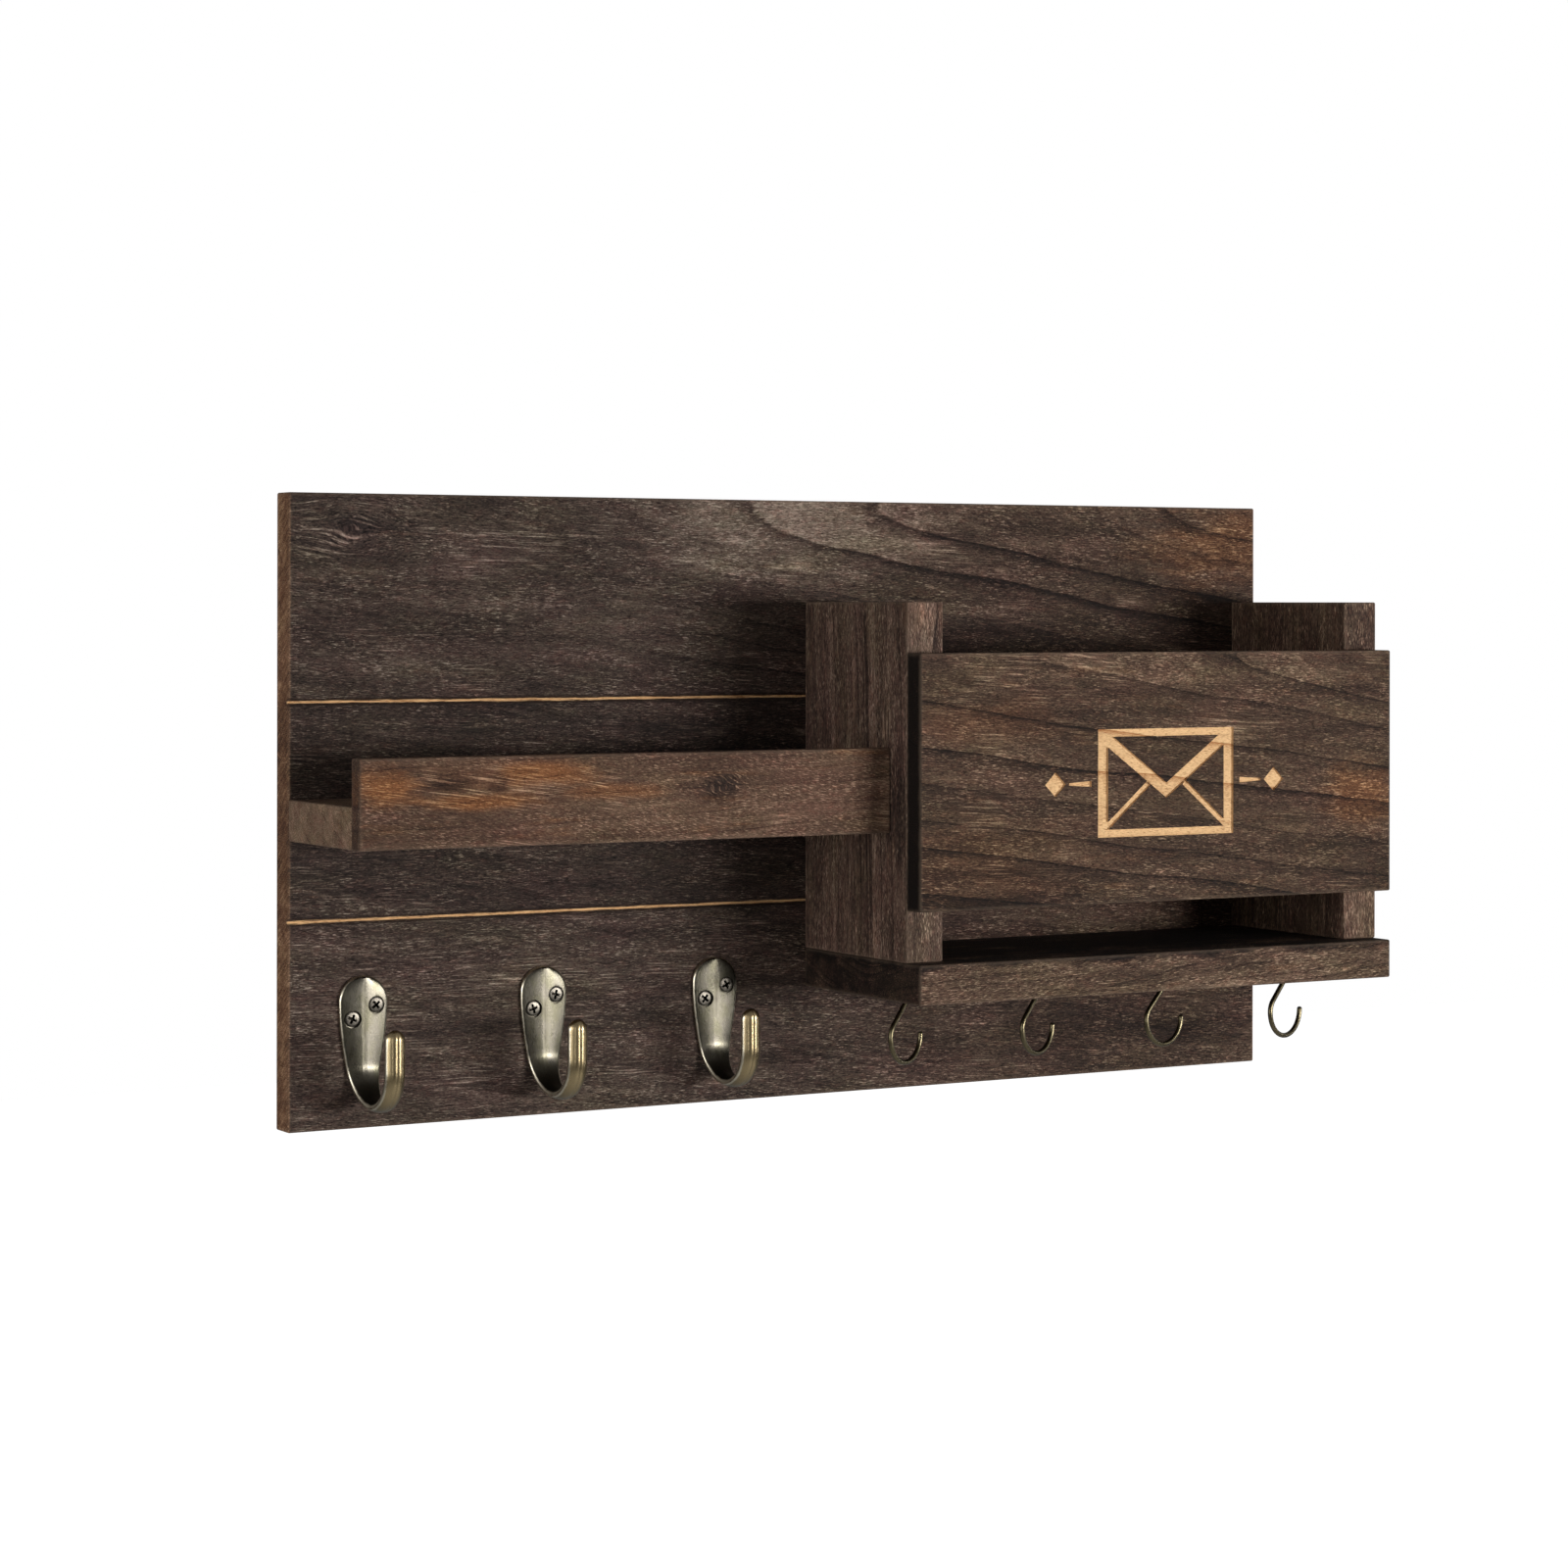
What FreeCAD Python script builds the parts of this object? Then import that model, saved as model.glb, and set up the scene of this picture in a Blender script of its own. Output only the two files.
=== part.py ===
import FreeCAD, Part
import Sketcher
import math
import os
from types import SimpleNamespace
from FreeCAD import Placement, Rotation, Vector

# Wall mail organizer: a grooved back board that carries a key shelf with an upright rail,
# an open-topped mail box with a slot under its front panel, coat hooks on the board and
# cup hooks under the box. The back of the board lies on the wall plane Y = 0, +Z is up,
# the front faces -Y and the origin is the middle of the board's back.

NOTES = {
    "board_width": (420.0, "back board, left end to right end"),
    "board_height": (224.0, "back board, lower edge to upper edge"),
    "board_thickness": (11.0, "back board"),
    "strip_height": (77.0, "middle strip of the back board, between its two grooves"),
    "groove_depth": (1.3, "V groove across the back board"),
    "groove_half_width": (1.25, "V groove, from its middle to its lip"),
    "arris_radius": (0.7, "rounding of every board's edges"),
    "shelf_depth": (54.5, "key shelf, from the back board to the rail"),
    "shelf_thickness": (14.5, "key shelf"),
    "shelf_drop": (10.0, "underside of the key shelf below the middle of the back board"),
    "rail_thickness": (7.0, "upright rail along the key shelf"),
    "rail_height": (31.0, "upright rail along the key shelf"),
    "box_offset": (1.0, "left face of the mail box, left of the middle of the back board"),
    "box_overhang": (4.0, "right face of the mail box, past the end of the back board"),
    "box_depth": (72.5, "mail box, from the back board to the front panel"),
    "side_thickness": (15.5, "side panels of the mail box"),
    "side_height": (130.5, "side panels of the mail box"),
    "floor_drop": (56.5, "inside floor of the mail box below the middle of the back board"),
    "bottom_thickness": (14.5, "bottom board of the mail box"),
    "front_thickness": (9.0, "front panel of the mail box"),
    "front_height": (93.0, "front panel of the mail box"),
    "front_gap": (19.0, "slot between the bottom board and the front panel"),
    "hook_end_margin": (28.0, "left end of the back board to the first coat hook"),
    "hook_box_margin": (39.4, "last coat hook to the left face of the mail box"),
    "hook_rise": (54.0, "lower edge of the back board to the top of a coat hook"),
    "hook_plate_half_width": (9.2, "round upper end of a coat hook"),
    "hook_plate_length": (31.2, "coat hook, from its top to the start of its bend"),
    "hook_bend_radius": (14.4, "coat hook, underside of the bend"),
    "hook_prong_length": (14.5, "coat hook, from the end of its bend to its tip"),
    "hook_prong_half_width": (3.75, "coat hook, at the bend and the prong"),
    "hook_taper_length": (47.0, "stretch over which a coat hook narrows"),
    "hook_edge": (1.6, "thickness of a coat hook at its edges"),
    "hook_plate_ridge": (1.0, "ridge along the front of a coat hook's plate"),
    "hook_prong_ridge": (2.1, "ridge along the outside of a coat hook's prong"),
    "hook_screw_side": (4.5, "coat hook screw, from the middle line of the hook"),
    "hook_screw_high": (10.5, "right screw below the top of a coat hook"),
    "hook_screw_low": (15.2, "left screw below the top of a coat hook"),
    "hook_screw_radius": (1.4, "shank of a coat hook screw"),
    "hook_screw_head": (2.8, "radius of the head of a coat hook screw"),
    "hook_screw_point": (2.5, "pointed end of a coat hook screw"),
    "hook_screw_seat": (1.9, "face of a coat hook screw's head, in front of the back board"),
    "hook_screw_cover": (1.5, "wood left behind the point of a coat hook screw"),
    "cup_margin": (19.5, "side of the mail box to the nearest cup hook"),
    "cup_wire_radius": (0.98, "wire of a cup hook"),
    "cup_loop_radius": (9.85, "loop of a cup hook, to the middle of its wire"),
    "cup_loop_drop": (15.7, "middle of the loop below the bottom board"),
    "cup_cover": (2.5, "wood left above the point of a cup hook"),
    "cup_point_length": (3.0, "pointed end of a cup hook"),
    "cup_angle_first": (24.0, "first cup hook, turned about its shank"),
    "cup_angle_second": (21.0, "second cup hook, turned about its shank"),
    "cup_angle_third": (12.0, "third cup hook, turned about its shank"),
    "cup_angle_fourth": (17.0, "fourth cup hook, turned about its shank"),
    "screw_radius": (1.75, "shank of a wood screw"),
    "screw_head": (3.5, "radius of the head of a wood screw"),
    "screw_bite": (18.0, "length of a wood screw in the second piece of wood"),
    "screw_point": (4.0, "pointed end of a wood screw"),
    "screw_inset": (25.0, "wood screws from the ends of a side panel"),
    "screw_end_margin": (6.5, "right side panel's screws from the end of the back board"),
    "shelf_screw_inset": (30.0, "outer shelf screws from the ends of the shelf"),
    "bottom_screw_inset": (18.0, "upright screws from the back and front of a side panel"),
    "floor_screw_inset": (48.0, "outer floor screws from the sides of the mail box"),
    "pin_radius": (0.6, "headless pin"),
    "pin_set": (1.0, "pin set below the outer face, under filler"),
    "pin_bite": (14.0, "length of a pin in the second piece of wood"),
    "pin_inset": (18.0, "pins from the upper and lower edge of the front panel"),
    "rail_pin_inset": (24.0, "outer pins from the ends of the rail"),
    "hanger_end_margin": (60.0, "ends of the back board to the keyholes"),
    "hanger_drop": (34.0, "upper edge of the back board to the middle of a hanger plate"),
    "hanger_half_width": (8.0, "hanger plate, also the radius of its ends"),
    "hanger_straight": (30.0, "straight stretch of a hanger plate, between its round ends"),
    "hanger_thickness": (1.5, "hanger plate"),
    "hanger_clearance": (0.25, "recess round a hanger plate"),
    "keyhole_radius": (4.5, "entry hole of a keyhole"),
    "keyhole_drop": (4.5, "entry hole below the middle of the plate"),
    "keyhole_slot_radius": (2.2, "half the width of a keyhole's slot"),
    "keyhole_travel": (10.0, "entry hole to the end of the slot"),
    "keyhole_room": (0.8, "pocket behind a keyhole, round the screw's head"),
    "keyhole_pocket_depth": (6.0, "pocket behind a keyhole, from the wall plane"),
    "hanger_screw_offset": (16.0, "hanger plate's screws from its middle"),
    "hanger_screw_radius": (1.2, "shank of a hanger screw"),
    "hanger_screw_head": (2.4, "radius of the head of a hanger screw"),
    "hanger_screw_length": (8.0, "hanger screw"),
    "hanger_screw_point": (2.0, "pointed end of a hanger screw"),
    "fit_gap": (0.02, "clearance round a screw, pin or shank in its hole"),
}


class Size:
    """A length that keeps its value and the spreadsheet expression that gives it."""

    def __init__(self, number, text):
        self.number = number
        self.text = text

    def __add__(self, other):
        other = as_size(other)
        return Size(self.number + other.number, f"({self.text} + {other.text})")

    def __sub__(self, other):
        other = as_size(other)
        return Size(self.number - other.number, f"({self.text} - {other.text})")

    def __mul__(self, factor):
        return Size(self.number * factor, f"({self.text} * {factor})")

    def __truediv__(self, divisor):
        return Size(self.number / divisor, f"({self.text} / {divisor})")

    def __neg__(self):
        return Size(-self.number, f"(0 - {self.text})")


def as_size(value):
    """Let a plain number stand beside the sizes of the sheet."""
    return value if isinstance(value, Size) else Size(float(value), f"{value}")


def fill_sheet(doc):
    """Write the driving dimensions into the sheet and return them by name."""
    sheet = doc.addObject("Spreadsheet::Sheet", "dims")
    named = {}
    for row, (name, (number, note)) in enumerate(NOTES.items(), start=1):
        sheet.set(f"A{row}", name)
        sheet.set(f"B{row}", str(number))
        sheet.set(f"C{row}", note)
        sheet.setAlias(f"B{row}", name)
        named[name] = Size(number, f"dims.{name}")
    doc.recompute()
    return SimpleNamespace(**named)


doc = FreeCAD.newDocument("wall_mail_organizer")
d = fill_sheet(doc)
ZERO = as_size(0)
HOOK_COUNT = 3
CUP_COUNT = 4
SEAT_ANGLE = 90

# A cup hook's swan neck, as shares of its loop's radius, and where its tip ends.
SHOULDER_SHARE = 0.633
NECK_SHARE = 0.4
NECK_LEAN = math.radians(45.0)
TIP_ANGLE = math.radians(4.0)
POINT_SHARE = 1 / 6

# Stations of a coat hook's loft: angles round its two round ends, steps along the rest.
EDGE_AT_TIP = 0.45
TOP_ANGLES = (9, 25, 42, 60, 78)
TIP_ANGLES = (25, 45, 62, 76)
SHANK_STEPS = 4
CURL_STEPS = 12

TOWARDS_FRONT = Rotation(Vector(1, 0, 0), 90)
TOWARDS_WALL = Rotation(Vector(1, 0, 0), -90)
UPSIDE_DOWN = Rotation(Vector(1, 0, 0), 180)
UPRIGHT = Rotation()

# Planes of the assembly, as places along X and Z and as distances in front of the wall.
half_board = d.board_width / 2
board_top = d.board_height / 2
box_left = -d.box_offset
box_right = half_board + d.box_overhang
floor_top = -d.floor_drop
floor_bottom = floor_top - d.bottom_thickness
side_top = floor_top + d.side_height
front_bottom = floor_top + d.front_gap
front_top = front_bottom + d.front_height
front_back = d.board_thickness + d.box_depth
shelf_bottom = -d.shelf_drop
shelf_top = shelf_bottom + d.shelf_thickness
rail_back = d.board_thickness + d.shelf_depth


def bind(thing, path, size):
    """Tie a property of an object to the sheet."""
    thing.setExpression(path, as_size(size).text)


def place(thing, x, y, z, rotation=UPRIGHT):
    """Put an object at a place that the sheet gives."""
    spot = [as_size(value) for value in (x, y, z)]
    thing.Placement = Placement(Vector(*[size.number for size in spot]), rotation)
    for axis, size in zip("xyz", spot):
        thing.setExpression(f"Placement.Base.{axis}", size.text)


def attach(body, name, role, offset):
    """Open a sketch on one of the body's own origin planes, shifted along its normal."""
    sketch = body.newObject("Sketcher::SketchObject", name)
    plane = [item for item in body.Origin.OriginFeatures if item.Role == role][0]
    sketch.AttachmentSupport = [(plane, "")]
    sketch.MapMode = "FlatFace"
    bind(sketch, "AttachmentOffset.Base.z", offset)
    return sketch


def pin_point(sketch, geometry, which, x, y, name):
    """Dimension one point of a sketch from the sketch's origin."""
    for kind, size in (("DistanceX", x), ("DistanceY", y)):
        index = sketch.addConstraint(
            Sketcher.Constraint(kind, -1, 1, geometry, which, size.number)
        )
        sketch.renameConstraint(index, f"{name}_{kind}")
        bind(sketch, f"Constraints.{name}_{kind}", size)


def draw_polygon(sketch, corners):
    """Draw a closed outline of straight edges, each corner dimensioned."""
    corners = [(as_size(x), as_size(y)) for x, y in corners]
    count = len(corners)
    points = [Vector(x.number, y.number, 0) for x, y in corners]
    for i in range(count):
        sketch.addGeometry(Part.LineSegment(points[i], points[(i + 1) % count]), False)
    for i in range(count):
        sketch.addConstraint(Sketcher.Constraint("Coincident", i, 2, (i + 1) % count, 1))
    for i, (x, y) in enumerate(corners):
        pin_point(sketch, i, 1, x, y, f"corner{i}")


def draw_rectangle(sketch, left, right, bottom, top):
    """Draw a rectangle between four sizes."""
    draw_polygon(sketch, [(left, bottom), (right, bottom), (right, top), (left, top)])


def draw_circles(sketch, centres, radius):
    """Draw equal circles, each centre dimensioned."""
    for i, (x, y) in enumerate(centres):
        x, y = as_size(x), as_size(y)
        circle = Part.Circle(Vector(x.number, y.number, 0), Vector(0, 0, 1), radius.number)
        sketch.addGeometry(circle, False)
        pin_point(sketch, i, 3, x, y, f"centre{i}")
        index = sketch.addConstraint(Sketcher.Constraint("Radius", i, radius.number))
        sketch.renameConstraint(index, f"radius{i}")
        bind(sketch, f"Constraints.radius{i}", radius)


def extrude(body, kind, name, sketch, length, away=False):
    """Pad a sketch along its normal, or pocket it, and check that it changed the solid."""
    doc.recompute()
    before = body.Shape.Volume if body.Tip else 0.0
    feature = body.newObject(f"PartDesign::{kind}", name)
    feature.Profile = sketch
    feature.Reversed = away
    bind(feature, "Length", length)
    body.Tip = feature
    doc.recompute()
    gained = body.Shape.Volume - before
    if (gained <= 0) if kind == "Pad" else (gained >= 0):
        raise RuntimeError(f"{name} changes nothing")
    return feature


def new_body(name):
    """Start a sub-part that is built from sketches."""
    body = doc.addObject("PartDesign::Body", name)
    body.Label = name
    return body


def make_board(name, left, right, bottom, top, back, depth):
    """A board: a rectangle seen from the front, as deep as it reaches from the wall."""
    body = new_body(name)
    outline = attach(body, f"{name}_outline", "XZ_Plane", back)
    draw_rectangle(outline, left, right, bottom, top)
    extrude(body, "Pad", f"{name}_blank", outline, depth)
    return body


def round_arrises(body):
    """Round every edge that the board has so far."""
    blank = body.Tip
    fillet = body.newObject("PartDesign::Fillet", f"{body.Name}_arrises")
    fillet.Base = (blank, [f"Edge{i + 1}" for i in range(len(blank.Shape.Edges))])
    bind(fillet, "Radius", d.arris_radius)
    body.Tip = fillet
    doc.recompute()


def bore(body, name, centres, radius, depth, start, role="XZ_Plane", away=True):
    """Straight round holes from a plane: away from the wall, or up, unless told otherwise."""
    sketch = attach(body, f"{name}_centres", role, start)
    draw_circles(sketch, centres, radius)
    extrude(body, "Pocket", name, sketch, depth, away)


def countersink(body, name, centres, shank, head, depth, start, role="XZ_Plane"):
    """Through holes with a conical seat for a countersunk head at the plane they start on."""
    sketch = attach(body, f"{name}_centres", role, start)
    draw_circles(sketch, centres, shank)
    doc.recompute()
    before = body.Shape.Volume
    hole = body.newObject("PartDesign::Hole", name)
    hole.Profile = sketch
    hole.Reversed = True
    doc.recompute()
    hole.DepthType = "Dimension"
    hole.HoleCutType = "Countersink"
    hole.HoleCutCustomValues = True
    hole.HoleCutCountersinkAngle = SEAT_ANGLE
    hole.DrillPoint = "Flat"
    bind(hole, "Diameter", shank * 2)
    bind(hole, "HoleCutDiameter", head * 2)
    bind(hole, "Depth", depth)
    body.Tip = hole
    doc.recompute()
    if body.Shape.Volume >= before:
        raise RuntimeError(f"{name} cuts nothing")


def screw_profile(name, shank, head, point, length):
    """Half the section of a countersunk screw, standing on its point's end of the Z axis."""
    sketch = doc.addObject("Sketcher::SketchObject", name)
    sketch.Placement = Placement(Vector(), Rotation(Vector(1, 0, 0), 90))
    corners = [
        (ZERO, ZERO),
        (head, ZERO),
        (shank, shank - head),
        (shank, point - length),
        (ZERO, -length),
    ]
    draw_polygon(sketch, corners)
    return sketch


def pin_profile(name, radius, length):
    """Half the section of a headless pin."""
    sketch = doc.addObject("Sketcher::SketchObject", name)
    sketch.Placement = Placement(Vector(), Rotation(Vector(1, 0, 0), 90))
    draw_polygon(sketch, [(ZERO, ZERO), (radius, ZERO), (radius, -length), (ZERO, -length)])
    return sketch


def make_fasteners(name, profile, places, rotation):
    """Turn one profile into a group of equal fasteners, one solid at each place."""
    turned = []
    for i, (x, y, z) in enumerate(places):
        fastener = doc.addObject("Part::Revolution", f"{name}_{i + 1}")
        fastener.Source = profile
        fastener.Axis = Vector(0, 0, 1)
        fastener.Base = Vector(0, 0, 0)
        fastener.Angle = 360
        fastener.Solid = True
        place(fastener, x, y, z, rotation)
        turned.append(fastener)
    group = doc.addObject("Part::Compound", name)
    group.Label = name
    group.Links = turned
    return group


# Wood screws and pins: where they go in, as X and Z seen from the front.
side_screw_x = [box_left + d.side_thickness / 2, half_board - d.screw_end_margin]
side_screw_z = [floor_top + d.screw_inset, side_top - d.screw_inset]
side_screws = [(x, z) for x in side_screw_x for z in side_screw_z]
floor_middle = floor_top - d.bottom_thickness / 2
floor_screws = [
    (x, floor_middle)
    for x in (
        box_left + d.floor_screw_inset,
        (box_left + box_right) / 2,
        box_right - d.floor_screw_inset,
    )
]
shelf_middle = shelf_bottom + d.shelf_thickness / 2
shelf_screw_x = [
    -half_board + d.shelf_screw_inset,
    (box_left - half_board) / 2,
    box_left - d.shelf_screw_inset,
]
shelf_screws = [(x, shelf_middle) for x in shelf_screw_x]
upright_screw_x = [box_left + d.side_thickness / 2, box_right - d.side_thickness / 2]
upright_screw_y = [
    -(d.board_thickness + d.bottom_screw_inset),
    -(front_back - d.bottom_screw_inset),
]
front_pin_z = [front_bottom + d.pin_inset, front_top - d.pin_inset]
front_pins = [(x, z) for x in upright_screw_x for z in front_pin_z]
rail_pins = [
    (x, shelf_middle)
    for x in (
        -half_board + d.rail_pin_inset,
        (box_left - half_board) / 2,
        box_left - d.rail_pin_inset,
    )
]
screw_hole = d.screw_radius + d.fit_gap
screw_seat = d.screw_head + d.fit_gap
pin_hole = d.pin_radius + d.fit_gap
wall_screw_length = d.board_thickness + d.screw_bite
upright_screw_length = d.bottom_thickness + d.screw_bite

hook_top = d.hook_rise - board_top
hook_first = -half_board + d.hook_end_margin
hook_pitch = (box_left - d.hook_box_margin - hook_first) / (HOOK_COUNT - 1)
hook_x = [hook_first + hook_pitch * i for i in range(HOOK_COUNT)]
hook_screws = [
    (x + side, hook_top - drop)
    for x in hook_x
    for side, drop in ((d.hook_screw_side, d.hook_screw_high), (-d.hook_screw_side, d.hook_screw_low))
]
hook_screw_bite = d.board_thickness - d.hook_screw_cover
hanger_x = [d.hanger_end_margin - half_board, half_board - d.hanger_end_margin]
hanger_z = board_top - d.hanger_drop

# Cup hooks stand in a row along the middle of the bottom board.
cup_y = -(d.board_thickness + (d.box_depth + d.front_thickness) / 2)
cup_first = box_left + d.cup_margin
cup_pitch = (box_right - d.cup_margin - cup_first) / (CUP_COUNT - 1)
cup_x = [cup_first + cup_pitch * i for i in range(CUP_COUNT)]
cup_angles = [d.cup_angle_first, d.cup_angle_second, d.cup_angle_third, d.cup_angle_fourth]
cup_shank = d.bottom_thickness - d.cup_cover


def stadium(body, kind, name, x, half_width, low, high, length, start, away):
    """A slot-shaped pad or pocket: a strip from low to high with round ends."""
    for end, middle in (("lower", low), ("upper", high)):
        sketch = attach(body, f"{name}_{end}_end", "XZ_Plane", start)
        draw_circles(sketch, [(x, middle)], half_width)
        extrude(body, kind, f"{name}_{end}", sketch, length, away)
    if high.number > low.number:
        sketch = attach(body, f"{name}_strip_outline", "XZ_Plane", start)
        draw_rectangle(sketch, x - half_width, x + half_width, low, high)
        extrude(body, kind, f"{name}_strip", sketch, length, away)


def make_back_board():
    """The back board, with grooves across its face and its back made to hang on a wall."""
    board = make_board(
        "back_board", -half_board, half_board, -board_top, board_top, ZERO, d.board_thickness
    )
    round_arrises(board)
    for name, middle in (("lower", -d.strip_height / 2), ("upper", d.strip_height / 2)):
        section = attach(board, f"{name}_groove_section", "YZ_Plane", -half_board)
        face = -d.board_thickness
        draw_polygon(
            section,
            [
                (face - d.groove_depth, middle - d.groove_half_width * 2),
                (face + d.groove_depth, middle),
                (face - d.groove_depth, middle + d.groove_half_width * 2),
            ],
        )
        extrude(board, "Pocket", f"{name}_groove", section, d.board_width, True)
    countersink(
        board,
        "wall_screw_holes",
        side_screws + floor_screws + shelf_screws,
        screw_hole,
        screw_seat,
        d.board_thickness,
        ZERO,
    )
    hole = d.hook_screw_radius + d.fit_gap
    bore(board, "hook_screw_holes", hook_screws, hole, hook_screw_bite, d.board_thickness, away=False)
    for side, x in zip(("left", "right"), hanger_x):
        half_straight = d.hanger_straight / 2
        stadium(
            board,
            "Pocket",
            f"{side}_hanger_recess",
            x,
            d.hanger_half_width + d.hanger_clearance,
            hanger_z - half_straight,
            hanger_z + half_straight,
            d.hanger_thickness,
            ZERO,
            True,
        )
        entry = hanger_z - d.keyhole_drop
        stadium(
            board,
            "Pocket",
            f"{side}_keyhole_pocket",
            x,
            d.keyhole_radius + d.keyhole_room,
            entry,
            entry + d.keyhole_travel,
            d.keyhole_pocket_depth,
            ZERO,
            True,
        )
    centres = [(x, hanger_z + z) for x in hanger_x for z in (-d.hanger_screw_offset, d.hanger_screw_offset)]
    bore(
        board,
        "hanger_screw_holes",
        centres,
        d.hanger_screw_radius + d.fit_gap,
        d.hanger_screw_length,
        ZERO,
    )
    return board


def make_key_shelf():
    """The shelf and the rail that stands along its front edge."""
    shelf = make_board(
        "key_shelf_board", -half_board, box_left, shelf_bottom, shelf_top, d.board_thickness, d.shelf_depth
    )
    round_arrises(shelf)
    bore(shelf, "shelf_pilot_holes", shelf_screws, screw_hole, d.screw_bite, d.board_thickness)
    bore(shelf, "shelf_pin_holes", rail_pins, pin_hole, d.pin_bite, rail_back, away=False)
    rail = make_board(
        "key_shelf_rail",
        -half_board,
        box_left,
        shelf_bottom,
        shelf_bottom + d.rail_height,
        rail_back,
        d.rail_thickness,
    )
    round_arrises(rail)
    bore(rail, "rail_pin_holes", rail_pins, pin_hole, d.rail_thickness - d.pin_set, rail_back)
    return [shelf, rail]


def make_box_side(name, left, right, screw_x, upright_x):
    """A side panel, held from the back and from below, with the front panel pinned to it."""
    side = make_board(name, left, right, floor_top, side_top, d.board_thickness, d.box_depth)
    round_arrises(side)
    backs = [(screw_x, z) for z in side_screw_z]
    bore(side, f"{name}_back_holes", backs, screw_hole, d.screw_bite, d.board_thickness)
    pins = [(upright_x, z) for z in front_pin_z]
    bore(side, f"{name}_pin_holes", pins, pin_hole, d.pin_bite, front_back, away=False)
    feet = [(upright_x, y) for y in upright_screw_y]
    bore(side, f"{name}_foot_holes", feet, screw_hole, d.screw_bite, floor_top, "XY_Plane")
    return side


def make_box_bottom():
    """The bottom board, which reaches as far forward as the front panel."""
    depth = d.box_depth + d.front_thickness
    bottom = make_board(
        "box_bottom_board", box_left, box_right, floor_bottom, floor_top, d.board_thickness, depth
    )
    round_arrises(bottom)
    bore(bottom, "bottom_pilot_holes", floor_screws, screw_hole, d.screw_bite, d.board_thickness)
    feet = [(x, y) for x in upright_screw_x for y in upright_screw_y]
    countersink(
        bottom,
        "bottom_screw_holes",
        feet,
        screw_hole,
        screw_seat,
        d.bottom_thickness,
        floor_bottom,
        "XY_Plane",
    )
    shanks = [(x, cup_y) for x in cup_x]
    hole = d.cup_wire_radius + d.fit_gap
    bore(bottom, "cup_hook_holes", shanks, hole, cup_shank, floor_bottom, "XY_Plane")
    return bottom


def make_front_panel():
    """The front panel, pinned to the front edges of the side panels."""
    panel = make_board(
        "box_front_panel", box_left, box_right, front_bottom, front_top, front_back, d.front_thickness
    )
    round_arrises(panel)
    bore(panel, "panel_pin_holes", front_pins, pin_hole, d.front_thickness - d.pin_set, front_back)
    return panel


def arc(start, middle, end):
    """An edge through three points."""
    return Part.Arc(start, middle, end).toShape()


def cup_hook_path():
    """The wire's middle line: tip, round loop, swan neck and shank, from the board at the origin."""
    loop = d.cup_loop_radius.number
    drop = -d.cup_loop_drop.number
    shoulder = SHOULDER_SHARE * loop
    neck = NECK_SHARE * loop

    def on(centre_x, centre_z, radius, angle):
        return Vector(centre_x + radius * math.cos(angle), 0, centre_z + radius * math.sin(angle))

    tip = on(0, drop, loop, TIP_ANGLE)
    low = on(0, drop, loop, -math.pi / 2)
    side = on(0, drop, loop, math.pi)
    shoulder_x = shoulder - loop
    rise = on(shoulder_x, drop, shoulder, math.pi - NECK_LEAN / 2)
    lean = on(shoulder_x, drop, shoulder, math.pi - NECK_LEAN)
    bend_x = -neck * (1.0 - math.cos(NECK_LEAN))
    bend = Vector(bend_x, 0, lean.z + bend_x - lean.x)
    neck_z = bend.z + neck * math.sin(NECK_LEAN)
    middle = on(-neck, neck_z, neck, -NECK_LEAN / 2)
    upright = Vector(0, 0, neck_z)
    top = Vector(0, 0, (cup_shank - d.cup_point_length).number)
    return Part.Wire(
        [
            arc(tip, low, side),
            arc(side, rise, lean),
            Part.LineSegment(lean, bend).toShape(),
            arc(bend, middle, upright),
            Part.LineSegment(upright, top).toShape(),
        ]
    )


def make_cup_hook(name, x, turn):
    """One bent wire with a rounded tip and a pointed shank, screwed up into the bottom board."""
    path = cup_hook_path()
    radius = d.cup_wire_radius.number
    start = path.Edges[0]
    tip = start.valueAt(start.FirstParameter)
    along = start.tangentAt(start.FirstParameter)
    ring = Part.Wire(Part.makeCircle(radius, tip, along))
    wire = path.makePipeShell([ring], True, True)
    top = (cup_shank - d.cup_point_length).number
    point = Part.makeCone(radius, radius * POINT_SHARE, d.cup_point_length.number, Vector(0, 0, top))
    hook = doc.addObject("Part::Feature", name)
    hook.Label = name
    hook.Shape = wire.fuse([Part.makeSphere(radius, tip), point]).removeSplitter()
    place(hook, x, cup_y, floor_bottom, Rotation(Vector(0, 0, 1), turn.number))
    bind(hook, "Placement.Rotation.Angle", turn)
    return hook


def hook_half_width(along, length):
    """Half the width of a coat hook: a round top, an even taper and a round tip."""
    plate = d.hook_plate_half_width.number
    prong = d.hook_prong_half_width.number
    if along < plate:
        return math.sqrt(plate**2 - (plate - along) ** 2)
    share = min((along - plate) / d.hook_taper_length.number, 1.0)
    width = prong + (plate - prong) * (1.0 + math.cos(math.pi * share)) / 2
    left = length - along
    if left < prong:
        width *= math.sqrt(1.0 - (1.0 - left / prong) ** 2)
    return width


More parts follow.
